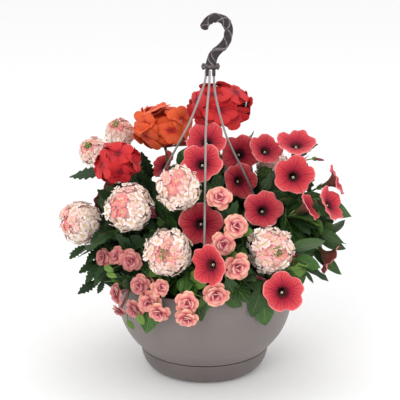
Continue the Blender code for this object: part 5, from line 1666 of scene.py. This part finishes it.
def verbena_head(surface, greens, bloom, spray, floret, rng):
    """A verbena head: two crowded layers of notched florets over a green dome on stalks, and at some crowns
    green buds."""
    radius = bloom["radius"]
    size = floret * (SMALL_FLORET if radius < SMALL_HEAD else 1.0)
    core = bloom["centre"]
    for share, sunk, lift in VERBENA_LAYERS:
        count = int(share * VERBENA_DENSITY * (radius / size) ** 2)
        cover = VERBENA_COVER if bloom["seen"] else VERBENA_COVER_HIDDEN
        centres, normals, slant = head_florets(bloom, count, cover, sunk, 0.12, 0.24, rng)
        keep = slant > VERBENA_CROWN
        centres, normals, slant = centres[keep], normals[keep], slant[keep]
        top = (centres[:, 2] - core[2]) / radius
        ages = (slant - 0.25) / 0.6 + 0.24 * rng.normal(size=len(slant)) - 0.8 * (top - 0.35).clip(0, 1)
        florets(surface, NOTCHED, centres, normals, PHASES * rng.random(len(centres)), size, 0.94, lift,
                np.clip(ages, 0, 1), rng)
    # A ball in petal colour, tinted fully toward the shadow colour, fills the gaps between florets: painted
    # shade
    add_ball(surface, core, (0.76 * radius,) * 3, mark=(0.7, 0, 1), tint=(0.7, 1.0, 0), rows=9, columns=16)
    frame = axes_along(bloom["face"], bloom["spin"])
    add_ball(greens, core - 0.16 * radius * bloom["face"], (0.72 * radius, 0.72 * radius, 0.66 * radius),
             frame, rows=9, columns=16)
    for out in golden_cap(22, 62) * (1, 1, -1) @ frame:
        sweep(greens, np.array((core - 0.85 * radius * bloom["face"],
                                core + 0.78 * radius * out - 0.1 * radius * bloom["face"],
                                core + 0.9 * radius * out)), (0.8, 1.0, 1.2), 5, (0.1, 0.3, 0))
    if bloom["spray"] in GREEN_CROWNS:
        for out in golden_cap(12, 15) @ frame:
            tip = core + out * radius * (0.93 + 0.05 * rng.random())
            sweep(greens, np.array((core + out * radius * 0.6, core + out * radius * 0.85, tip)),
                  (0.9, 1.2, 0.9), 6, (0.0, 0.55, 0))
    head_stalk(greens, bloom, spray, 2.0)


def head_stalk(greens, bloom, spray, radius):
    """The stalk from the middle of a head to the foot of its spray."""
    path = np.array((bloom["centre"], spray["foot"] + spray["axis"] * STALK_LENGTH, spray["foot"]))
    sweep(greens, rounded(path, 2), radius, 8, (0.0, 0.1, 0))


def pelargonium_head(surface, greens, bloom, spray, rng):
    """A zonal pelargonium head: wide five-petalled florets on slim stalks that spring from one point.

    The head is worked out round and then stretched about its centre along the three axes.
    """
    radius = bloom["radius"]
    few, share, lift, stretch = PELARGONIUM_FORM[bloom["spray"]]
    length = share * radius
    x, y, _ = bloom["face"]
    bloom = {**bloom, "face": heading(math.degrees(math.atan2(x, -y)), lift)}
    petals, stalks = Surface(), Surface()
    for more, cover, sunk, size, raised in PELARGONIUM_LAYERS:
        count = few + more
        centres, normals, _ = head_florets(bloom, count, cover, sunk, 0.06, 0.22, rng)
        # Deeper florets take more of the darker young colour: painted shade inside the head, with a random
        # part
        ages = np.clip(1.25 - 1.6 * sunk + 0.2 * rng.normal(size=count), 0, 1)
        florets(petals, ROUND_PETAL, centres, normals, PHASES * rng.random(count), size * length, 0.9, raised,
                ages, rng)
        for centre in centres:
            low = bloom["centre"] - bloom["face"] * 0.3 * radius
            sweep(stalks, np.array((low, 0.5 * (low + centre), centre)), (0.8, 0.8, 1.0), 5, (0.25, 0.2, 0))
    # A ball in the darkest young colour, tinted fully toward the shadow colour, fills the head's inside:
    # painted shade
    add_ball(petals, bloom["centre"], (0.60 * radius,) * 3, mark=(0.5, 0, 1), tint=(0.0, 1.0, 0), rows=9,
             columns=16)
    for made, kept in ((petals, surface), (stalks, greens)):
        kept.take(made, lambda places: (places - bloom["centre"]) * stretch + bloom["centre"])
    head_stalk(greens, bloom, spray, 2.2)


def bud(surface, start, direction, length):
    """A closed bud: a spindle, slim at its base and blunt at its tip."""
    share = np.linspace(0, 1, 9)
    radii = length * 0.13 * np.sin(math.pi * (0.06 + 0.86 * share)) ** 0.7
    sweep(surface, start + share[:, None] * length * direction, radii, 10)


# Stems and leaves


def face_balls(bloom):
    """Balls that fill a bloom, and for a petunia more of them close together over its turned face."""
    places, radii = balls_of(bloom)
    if bloom["kind"] != "petunia":
        return places, radii
    bloom = turned_bloom(bloom)
    turn = np.concatenate([circle_turns(count) for _, count in FACE_RINGS])
    out = np.repeat(*zip(*FACE_RINGS))
    disk = np.column_stack((out * np.cos(turn), out * np.sin(turn), -FACE_DEPTH * (1 - out) ** 1.6))
    disk = disk * bloom["radius"]
    disk = disk @ axes_along(bloom["face"], bloom["spin"]) + bloom["centre"]
    return np.concatenate((places, disk)), np.concatenate((radii, np.full(len(disk), FACE_BALL)))


def ground_balls(sprays):
    """Balls that fill the blooms and strands, their radii, and how many of them belong to seen blooms."""
    blooms = sorted((bloom for spray in sprays.values() for bloom in spray["blooms"]),
                    key=lambda bloom: not bloom["seen"])
    sets = [face_balls(bloom) for bloom in blooms]
    seen = sum(len(places) for (places, _), bloom in zip(sets, blooms) if bloom["seen"])
    strands, strand_radii = strand_balls()
    return (np.concatenate([places for places, _ in sets] + [strands]),
            np.concatenate([sizes for _, sizes in sets] + [strand_radii]), seen)


def trimmed(leaves, balls, radii, seen):
    """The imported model's leaves as rows of fill_leaves, each made smaller until it clears turned petals."""
    kept = []
    for kind, size, base, frame in leaves:
        for smaller in TRIMMED_SIZES:
            places = leaf_samples(kind, size * smaller) @ frame + base
            clear = (np.linalg.norm(places[:, None] - balls[None], axis=2) - radii).min()
            if clear > TRIMMED_ROOM and not hides(places[None], balls[:seen], radii[:seen] * 0.8)[0]:
                break
        length, width = (smaller * size * value for value in LEAF_KINDS[kind][:2])
        kept.append((kind, length, width, base, frame, 0.0, True, None))
    return kept


def fill_leaves(plant, balls, radii, seen, low, high, placed, most, rng):
    """More leaves along a plant's stems, of many tries those clear of blooms, bowl and each other.

    Returns rows of (kind, length, width, base, frame, youth, fine, where its stalk starts).
    """
    kept = []
    share = np.array((0.25, 0.5, 0.75, 1.0))
    spots = np.array([(t, v) for t in share for v in (-0.8, 0.0, 0.8)])
    for line in plant["stems"]:
        fine = finer(line)
        run = units(np.gradient(fine, axis=0))
        pick = (1 + (len(fine) - 2) * rng.random(FILL_TRIES) ** 0.75).astype(int)
        start, forward = fine[pick], run[pick]
        side = rng.normal(size=(FILL_TRIES, 3))
        outward = start * (1, 1, 0) + np.array((0, 0, OUTWARD_RISE)) * (start[:, 2:] - OUTWARD_FROM) + 1e-6
        outward = units(outward)
        ahead, aside, away = FILL_POINTS
        sideways = aside * side / np.linalg.norm(side, axis=1, keepdims=True)
        direction = units(ahead * forward + sideways + away * outward)
        frames = frames_about(direction, outward + 0.4 * rng.normal(size=(FILL_TRIES, 3)))
        stalk = FILL_STALK * rng.random(FILL_TRIES) * (rng.random(FILL_TRIES) < STALKED_SHARE)
        base = start + direction * stalk[:, None]
        kinds = [leaf_kind(place, rng) for place in base]
        young = (rng.random(FILL_TRIES) < YOUNG_SHARE) & (pick > YOUNG_FROM)
        size = np.where(young, YOUNG_SIZE, FILL_SIZE) + FILL_MORE * rng.random(FILL_TRIES)
        size = size * np.where(np.array(kinds) == "pelargonium", PELARGONIUM_SIZE, 1.0)
        long = np.array([LEAF_KINDS[kind][0] for kind in kinds]) * size
        wide = np.array([LEAF_KINDS[kind][1] for kind in kinds]) * size
        local = np.stack((long[:, None] * spots[:, 0],
                          0.5 * wide[:, None] * spots[:, 1] * (1 - spots[:, 0] ** 3),
                          -0.08 * long[:, None] * spots[:, 0] ** 2), axis=-1)
        places = np.einsum("lpk,lkx->lpx", local, frames) + base[:, None]
        flat = places.reshape(-1, 3)
        clear = (np.linalg.norm(flat[:, None] - balls[None], axis=2) - radii).min(axis=1)
        clear = np.minimum(clear, pot_clearance(flat)).reshape(FILL_TRIES, -1).min(axis=1)
        good = (clear > FILL_ROOM) & ((places > low) & (places < high)).all(axis=(1, 2))
        good &= (places[..., 2] < DOME[0] - DOME[1] * np.hypot(places[..., 0], places[..., 1])).all(axis=1)
        good &= ~hides(places, balls[:seen], radii[:seen] * 0.9)
        count = 0
        for index in np.flatnonzero(good):
            middle = places[index].mean(axis=0)
            if placed and np.linalg.norm(np.array(placed) - middle, axis=1).min() < FILL_SPACE * size[index]:
                continue
            placed.append(middle)
            kept.append((kinds[index], long[index], wide[index], base[index], frames[index],
                         float(young[index]), False, start[index] if stalk[index] else None))
            count += 1
            if count == most:
                break
    return kept


def seen_leaves(plants):
    """The leaves of SEEN_LEAVES as rows of fill_leaves, each with the plant whose stem passes nearest."""
    lines = [(sector, finer(line)) for sector, plant in plants.items() for line in plant["stems"]]
    owners = np.concatenate([np.full(len(line), sector) for sector, line in lines])
    places = np.concatenate([line for _, line in lines])
    found = {sector: [] for sector in plants}
    for kind, base, tip, width in SEEN_LEAVES:
        base, tip = np.array(base, float), np.array(tip, float)
        near = np.argmin(np.linalg.norm(places - base, axis=1))
        frame = frames_about(tip - base, 0.8 * unit(EYE - base) + unit(base * (1, 1, 0)) * 0.3 + (0, 0, 0.4))
        young = float(np.linalg.norm(tip - base) < 20 and kind == "petunia")
        found[owners[near]].append((kind, np.linalg.norm(tip - base), width, base, frame, young, True,
                                    places[near]))
    return found


def leaves_surface(leaves, kind, rng):
    """One surface of the leaves of a kind: the large ones finely, the added small ones with fewer faces."""
    surface = Surface()
    for fine in (True, False):
        group = [leaf for leaf in leaves if leaf[0] == kind and leaf[6] == fine]
        if not group:
            continue
        style = dict(LEAF_STYLES[kind])
        if not fine:
            style.update(rings=COARSE_RINGS, columns=COARSE_COLUMNS)
        length, width, young = (np.array([leaf[index] for leaf in group]) for index in (1, 2, 5))
        tints = np.column_stack((rng.random(len(group)), young * (0.4 + 0.4 * rng.random(len(group))),
                                 0 * young))
        blades(surface, style, length, width, np.array([leaf[3] for leaf in group]),
               np.array([leaf[4] for leaf in group]), tints, PHASES * rng.random(len(group)))
    return surface


def seen_bud(buds, greens, base, tip, plants):
    """A closed bud with its calyx, on a slim stalk from the nearest stem."""
    base, tip = np.array(base, float), np.array(tip, float)
    stems = np.concatenate([finer(line) for plant in plants.values() for line in plant["stems"]])
    start = stems[np.argmin(np.linalg.norm(stems - base, axis=1))]
    axis = unit(tip - base)
    bud(buds, base, axis, np.linalg.norm(tip - base))
    middle = 0.5 * (start + base) - axis * 0.25 * np.linalg.norm(start - base)
    sweep(greens, rounded(np.array((start, middle, base + axis)), 2), 0.9, 6, (0.0, 0.2, 0))
    calyx(greens, base, axis, "bud", np.random.default_rng(SEED))


def stems_surface(sector, plant, leaves, buds, rng):
    """A plant's stems, brown at the foot and green at the tip, its crown and leaf stalks, with buds."""
    surface = Surface()
    x, y, z = root_of(sector)
    crown = np.array(((x, y, z - HOLE_DEPTH + GAP), (x, y, z - 5.0), (x, y, z - 1.0)))
    sweep(surface, crown, CROWN_RADIUS, 12, (0.9, 0, 0))
    for line, (count, _) in zip(plant["stems"], plant["bearing"]):
        path = rounded(line, 2)
        share = np.linspace(0, 1, len(path))
        tint = np.zeros((len(path), 8, 3))
        tint[..., 0] = (1 - 4 * share[:, None]).clip(0, 1)
        tint[..., 1] = 0.35 * share[:, None] ** 2
        sweep(surface, path, STEM_RADIUS * (1.0 - 0.25 * share), 8, tint)
        if count < SHOOT_LEAVES:
            continue
        run = unit(path[-1] - path[-3])
        for turn in range(3):
            out = unit(run + 0.5 * axes_along(run, 2.1 * turn)[0] + (0, 0, 0.25))
            bud(buds, path[-1] + out * 0.5, out, 13.0 + 7.0 * rng.random())
    for leaf in leaves:
        if leaf[7] is not None:
            base, start = leaf[3], leaf[7]
            middle = 0.5 * (base + start) - leaf[4][0] * 0.12 * np.linalg.norm(base - start)
            sweep(surface, rounded(np.array((start, middle, base + leaf[4][0])), 2), 0.75, 5, (0.0, 0.2, 0))
    return surface


# Settings, operators and panel


class BasketSizes(bpy.types.PropertyGroup):
    """Sizes that a user may change."""

    floret_radius: bpy.props.FloatProperty(
        name="Verbena floret", description="How far a verbena floret's petals reach from its eye",
        default=FLORET_RADIUS * MM, min=0.004, max=0.012, unit="LENGTH")
    twig_height: bpy.props.FloatProperty(
        name="Hook twigs", description="How far the hook's raised twigs stand over its grooves",
        default=TWIG_HEIGHT * MM, min=0.0, max=0.002, unit="LENGTH")
    leaves_a_stem: bpy.props.IntProperty(
        name="Leaves a stem", description="The most smaller leaves added along one stem", default=16, min=0,
        max=30)


class BasketColours(bpy.types.PropertyGroup):
    """Colours that a user may change."""

    bowl: bpy.props.FloatVectorProperty(
        name="Bowl", description="The bowl's taupe plastic", default=linear("7D7471"), size=4,
        subtype="COLOR")
    saucer: bpy.props.FloatVectorProperty(
        name="Saucer", description="The saucer's darker plastic", default=linear("6C6461"), size=4,
        subtype="COLOR")
    strands: bpy.props.FloatVectorProperty(
        name="Strands", description="The three strands' plastic", default=linear("A69F9C"), size=4,
        subtype="COLOR")
    leaves: bpy.props.FloatVectorProperty(
        name="Leaves", description="The fresher green of the leaves", default=linear("3E6A26"), size=4,
        subtype="COLOR")


def layout():
    """The planting, worked out once."""
    if not LAYOUT:
        LAYOUT.extend(planting())
    return LAYOUT


def sprays_like(kind):
    """The name, spray and bloom kind of each spray of one kind, with a random stream of its own."""
    for index, (name, spray) in enumerate(layout()[0].items()):
        if spray["blooms"][0]["kind"] == kind:
            yield name, spray, np.random.default_rng((SEED, index))


class BasketShells(bpy.types.Operator):
    """Turn the bowl and its clip-on saucer"""

    bl_idname = "basket.shells"
    bl_label = "Bowl and saucer"

    def execute(self, context):
        colours = context.scene.basket_colours
        for name, surface, colour, dark, slot in (
                ("bowl_skin", bowl_surface(), tuple(colours.bowl), "756C6A", "taupe_plastic"),
                ("saucer_skin", saucer_surface(), tuple(colours.saucer), "625A58", "dark_taupe_plastic")):
            look = moulded_plastic(slot + "_polypropylene", colour, dark, 0.42)
            make_piece(name, surface, look, slot, (name.split("_")[0],))
        return {"FINISHED"}


class BasketSoil(bpy.types.Operator):
    """Fill the bowl with crumbly potting soil"""

    bl_idname = "basket.soil"
    bl_label = "Soil"

    def execute(self, context):
        make_piece("soil_bed", soil_surface(), potting_soil(), "potting_soil", ("soil",))
        return {"FINISHED"}


class BasketHook(bpy.types.Operator):
    """Mould the hook with its raised twigs and collar"""

    bl_idname = "basket.hook"
    bl_label = "Hook"

    def execute(self, context):
        surface = hook_surface(context.scene.basket_sizes.twig_height / MM)
        make_piece("hook_twigs", surface, ribbed_plastic(), "hook_plastic", ("hook",))
        return {"FINISHED"}


class BasketStrands(bpy.types.Operator):
    """Run the three strands from the hook to their clips on the rim"""

    bl_idname = "basket.strands"
    bl_label = "Strands"

    def execute(self, context):
        colour = tuple(context.scene.basket_colours.strands)
        look = moulded_plastic("strand_polypropylene", colour, "8A8482", 0.4)
        for name in STRANDS:
            make_piece(name + "_cord", strand_surface(name), look, "strand_plastic", (name,))
        return {"FINISHED"}


class BasketPetunias(bpy.types.Operator):
    """Open the petunias, each on its own tube and calyx"""

    bl_idname = "basket.petunias"
    bl_label = "Petunias"

    def execute(self, context):
        look = petunia_petal()
        greens, creams = Surface(), Surface()
        for name, spray, rng in sprays_like("petunia"):
            surface = Surface()
            for bloom in spray["blooms"]:
                bloom = turned_bloom(bloom)
                petunia(surface, bloom, spray["foot"], PHASES * rng.random(), 0.7 * rng.random())
                stigma(creams, bloom)
                tube = bloom["centre"] - 0.5 * bloom["radius"] * bloom["face"] - spray["foot"]
                calyx(greens, spray["foot"], unit(tube), "petunia", rng)
            make_piece(name + "_petals", surface, look, "petunia_petals", (name,))
        make_piece("petunia_calyxes", greens, stem_look(), "foliage")
        make_piece("petunia_stigmas", creams, pollen(), "petunia_petals")
        return {"FINISHED"}


class BasketDoubles(bpy.types.Operator):
    """Ruffle the double calibrachoas in four whorls"""

    bl_idname = "basket.doubles"
    bl_label = "Double calibrachoas"

    def execute(self, context):
        look = ruffled_petal()
        greens = Surface()
        for name, spray, rng in sprays_like("double"):
            surface = Surface()
            for bloom in spray["blooms"]:
                # Painted shade on the doubles to the left of the basket
                painted_shade = LEFT_SHADE * np.clip((LEFT_SHADE_FROM - bloom["centre"][0]) / LEFT_SHADE_OVER, 0, 1)
                double_bloom(surface, bloom, spray["foot"], rng, painted_shade)
                tube = bloom["centre"] - 0.5 * bloom["radius"] * bloom["face"] - spray["foot"]
                calyx(greens, spray["foot"], unit(tube), "double", rng)
            make_piece(name + "_petals", surface, look, "calibrachoa_petals", (name,))
        make_piece("calibrachoa_calyxes", greens, stem_look(), "foliage")
        return {"FINISHED"}


class BasketVerbenas(bpy.types.Operator):
    """Cover the verbena heads with notched florets"""

    bl_idname = "basket.verbenas"
    bl_label = "Verbenas"

    def execute(self, context):
        look = floret_petal("verbena_floret_petal", "EE8284", "FFF8EE", "FFFFFF", "F0E8A0", "F4ACA0")
        size = context.scene.basket_sizes.floret_radius / MM
        greens = Surface()
        for name, spray, rng in sprays_like("verbena"):
            surface = Surface()
            verbena_head(surface, greens, spray["blooms"][0], spray, size, rng)
            make_piece(name + "_florets", surface, look, "verbena_petals", (name,))
        make_piece("verbena_flower_stalks", greens, stem_look(), "foliage")
        return {"FINISHED"}


class BasketPelargoniums(bpy.types.Operator):
    """Gather the zonal pelargoniums' wide florets into heads"""

    bl_idname = "basket.pelargoniums"
    bl_label = "Zonal pelargoniums"

    def execute(self, context):
        # For these heads the first colour, on deeper florets and the core ball, and the last two, at the
        # petals' bases, are painted shade
        red = floret_petal("pelargonium_red_petal", "A80A2A", "D23230", "FFE4D8", "8A0622", "A80C28")
        orange = floret_petal("pelargonium_orange_petal", "D43E22", "EA6838", "FFF0D8", "BC2420", "DC4C28")
        greens = Surface()
        for name, spray, rng in sprays_like("pelargonium"):
            surface = Surface()
            pelargonium_head(surface, greens, spray["blooms"][0], spray, rng)
            make_piece(name + "_florets", surface, orange if "orange" in name else red, "pelargonium_petals",
                       (name,))
        make_piece("pelargonium_flower_stalks", greens, stem_look(), "foliage")
        return {"FINISHED"}


class BasketPlants(bpy.types.Operator):
    """Grow the seven plants' stems and leaves, and buds at the shoots' tips"""

    bl_idname = "basket.plants"
    bl_label = "Stems and leaves"

    def execute(self, context):
        green = tuple(context.scene.basket_colours.leaves)
        looks = {"petunia": leaf_blade("petunia_leaf", "1C3214", green, "84A060", 0.45, 7.0, -0.7),
                 "verbena": leaf_blade("verbena_leaf", "142812", "2C4E20", "4A7038", 0.6, 9.0, -1.2),
                 "pelargonium": leaf_blade("pelargonium_leaf", "1E3A18", "3C6228", "6C8E50", 0.65, 5.0, -0.7)}
        sprays, plants = layout()
        balls, radii, seen = ground_balls(sprays)
        low, high = [np.array(corner) / MM + HOOK_SEAT for corner in CAD_BOX]
        rng = np.random.default_rng(SEED)
        placed, buds, greens, added = [], Surface(), Surface(), seen_leaves(plants)
        for base, tip in SEEN_BUDS:
            seen_bud(buds, greens, base, tip, plants)
        for sector, plant in plants.items():
            title = "middle" if sector == SECTORS else SECTOR_NAMES[sector]
            leaves = added[sector] + trimmed(plant["leaves"], balls, radii, seen)
            placed += [leaf[3] + 0.5 * leaf[1] * leaf[4][0] for leaf in leaves]
            leaves += fill_leaves(plant, balls, radii, seen, low + 1, high - 1, placed,
                                  context.scene.basket_sizes.leaves_a_stem, rng)
            make_piece("stems_" + title, stems_surface(sector, plant, leaves, buds, rng),
                       stem_look(), "foliage", ("leafy_stems_" + title,))
            for kind, look in looks.items():
                surface = leaves_surface(leaves, kind, rng)
                if surface.count:
                    make_piece(f"leaves_{title}_{kind}", surface, look, "foliage", ("leafy_stems_" + title,))
        make_piece("flower_buds", buds, flower_bud(), "petunia_petals")
        make_piece("flower_bud_stalks", greens, stem_look(), "foliage")
        return {"FINISHED"}


class BasketStage(bpy.types.Operator):
    """Lay the floor and set the lights and the camera"""

    bl_idname = "basket.stage"
    bl_label = "Stage"

    def execute(self, context):
        scene = context.scene
        floor = bpy.data.meshes.new("floor")
        corners = ((-1, -1), (1, -1), (1, 1), (-1, 1))
        floor.from_pydata([(x * FLOOR_REACH, y * FLOOR_REACH, -HOOK_SEAT[2] * MM) for x, y in corners], [],
                          [(0, 1, 2, 3)])
        floor.materials.append(pale_floor())
        thing = bpy.data.objects.new("floor", floor)
        scene.collection.objects.link(thing)
        world = scene.world or bpy.data.worlds.new("studio")
        scene.world = world
        world.use_nodes = True
        sky = world.node_tree.nodes["Background"]
        sky.inputs["Color"].default_value = linear("FDFDFE")
        sky.inputs["Strength"].default_value = SKY_STRENGTH
        for name, place, size, watts in LIGHTS:
            light = bpy.data.lights.new(name, "AREA")
            light.shape = "DISK"
            light.size = size
            light.energy = watts
            lamp = bpy.data.objects.new(name, light)
            scene.collection.objects.link(lamp)
            lamp.location = place
            aim = mathutils.Vector(LIGHTS_AIM) - mathutils.Vector(place)
            lamp.rotation_euler = aim.to_track_quat("-Z", "Y").to_euler()
        camera = bpy.data.cameras.new("photograph_view")
        camera.lens = CAMERA_LENS
        camera.sensor_width = CAMERA_SENSOR
        eye = bpy.data.objects.new("photograph_view", camera)
        scene.collection.objects.link(eye)
        eye.location = (CAMERA_PLACE - HOOK_SEAT) * MM
        eye.rotation_euler = (math.radians(90 - CAMERA_DOWN), 0, 0)
        scene.camera = eye
        scene.view_settings.view_transform = "Standard"
        return {"FINISHED"}


STEPS = (BasketStage, BasketShells, BasketSoil, BasketHook, BasketStrands, BasketPetunias, BasketDoubles,
         BasketVerbenas, BasketPelargoniums, BasketPlants)


class BasketPanel(bpy.types.Panel):
    """The basket's settings and its steps in order"""

    bl_idname = "BASKET_PT_steps"
    bl_label = "Flowering basket"
    bl_space_type = "VIEW_3D"
    bl_region_type = "UI"
    bl_category = "Basket"

    def draw(self, context):
        for group in (context.scene.basket_sizes, context.scene.basket_colours):
            for title in group.__annotations__:
                self.layout.prop(group, title)
        for step in STEPS:
            self.layout.operator(step.bl_idname)


def register():
    """Add the settings, operators and panel."""
    for kind in (BasketSizes, BasketColours, *STEPS, BasketPanel):
        bpy.utils.register_class(kind)
    bpy.types.Scene.basket_sizes = bpy.props.PointerProperty(type=BasketSizes)
    bpy.types.Scene.basket_colours = bpy.props.PointerProperty(type=BasketColours)


def unregister():
    """Take them away again."""
    del bpy.types.Scene.basket_sizes
    del bpy.types.Scene.basket_colours
    for kind in (BasketPanel, *reversed(STEPS), BasketColours, BasketSizes):
        bpy.utils.unregister_class(kind)


def main():
    """Make every piece in order."""
    register()
    for step in STEPS:
        family, name = step.bl_idname.split(".")
        getattr(getattr(bpy.ops, family), name)()
    bpy.context.view_layer.update()


if __name__ == "__main__":
    main()
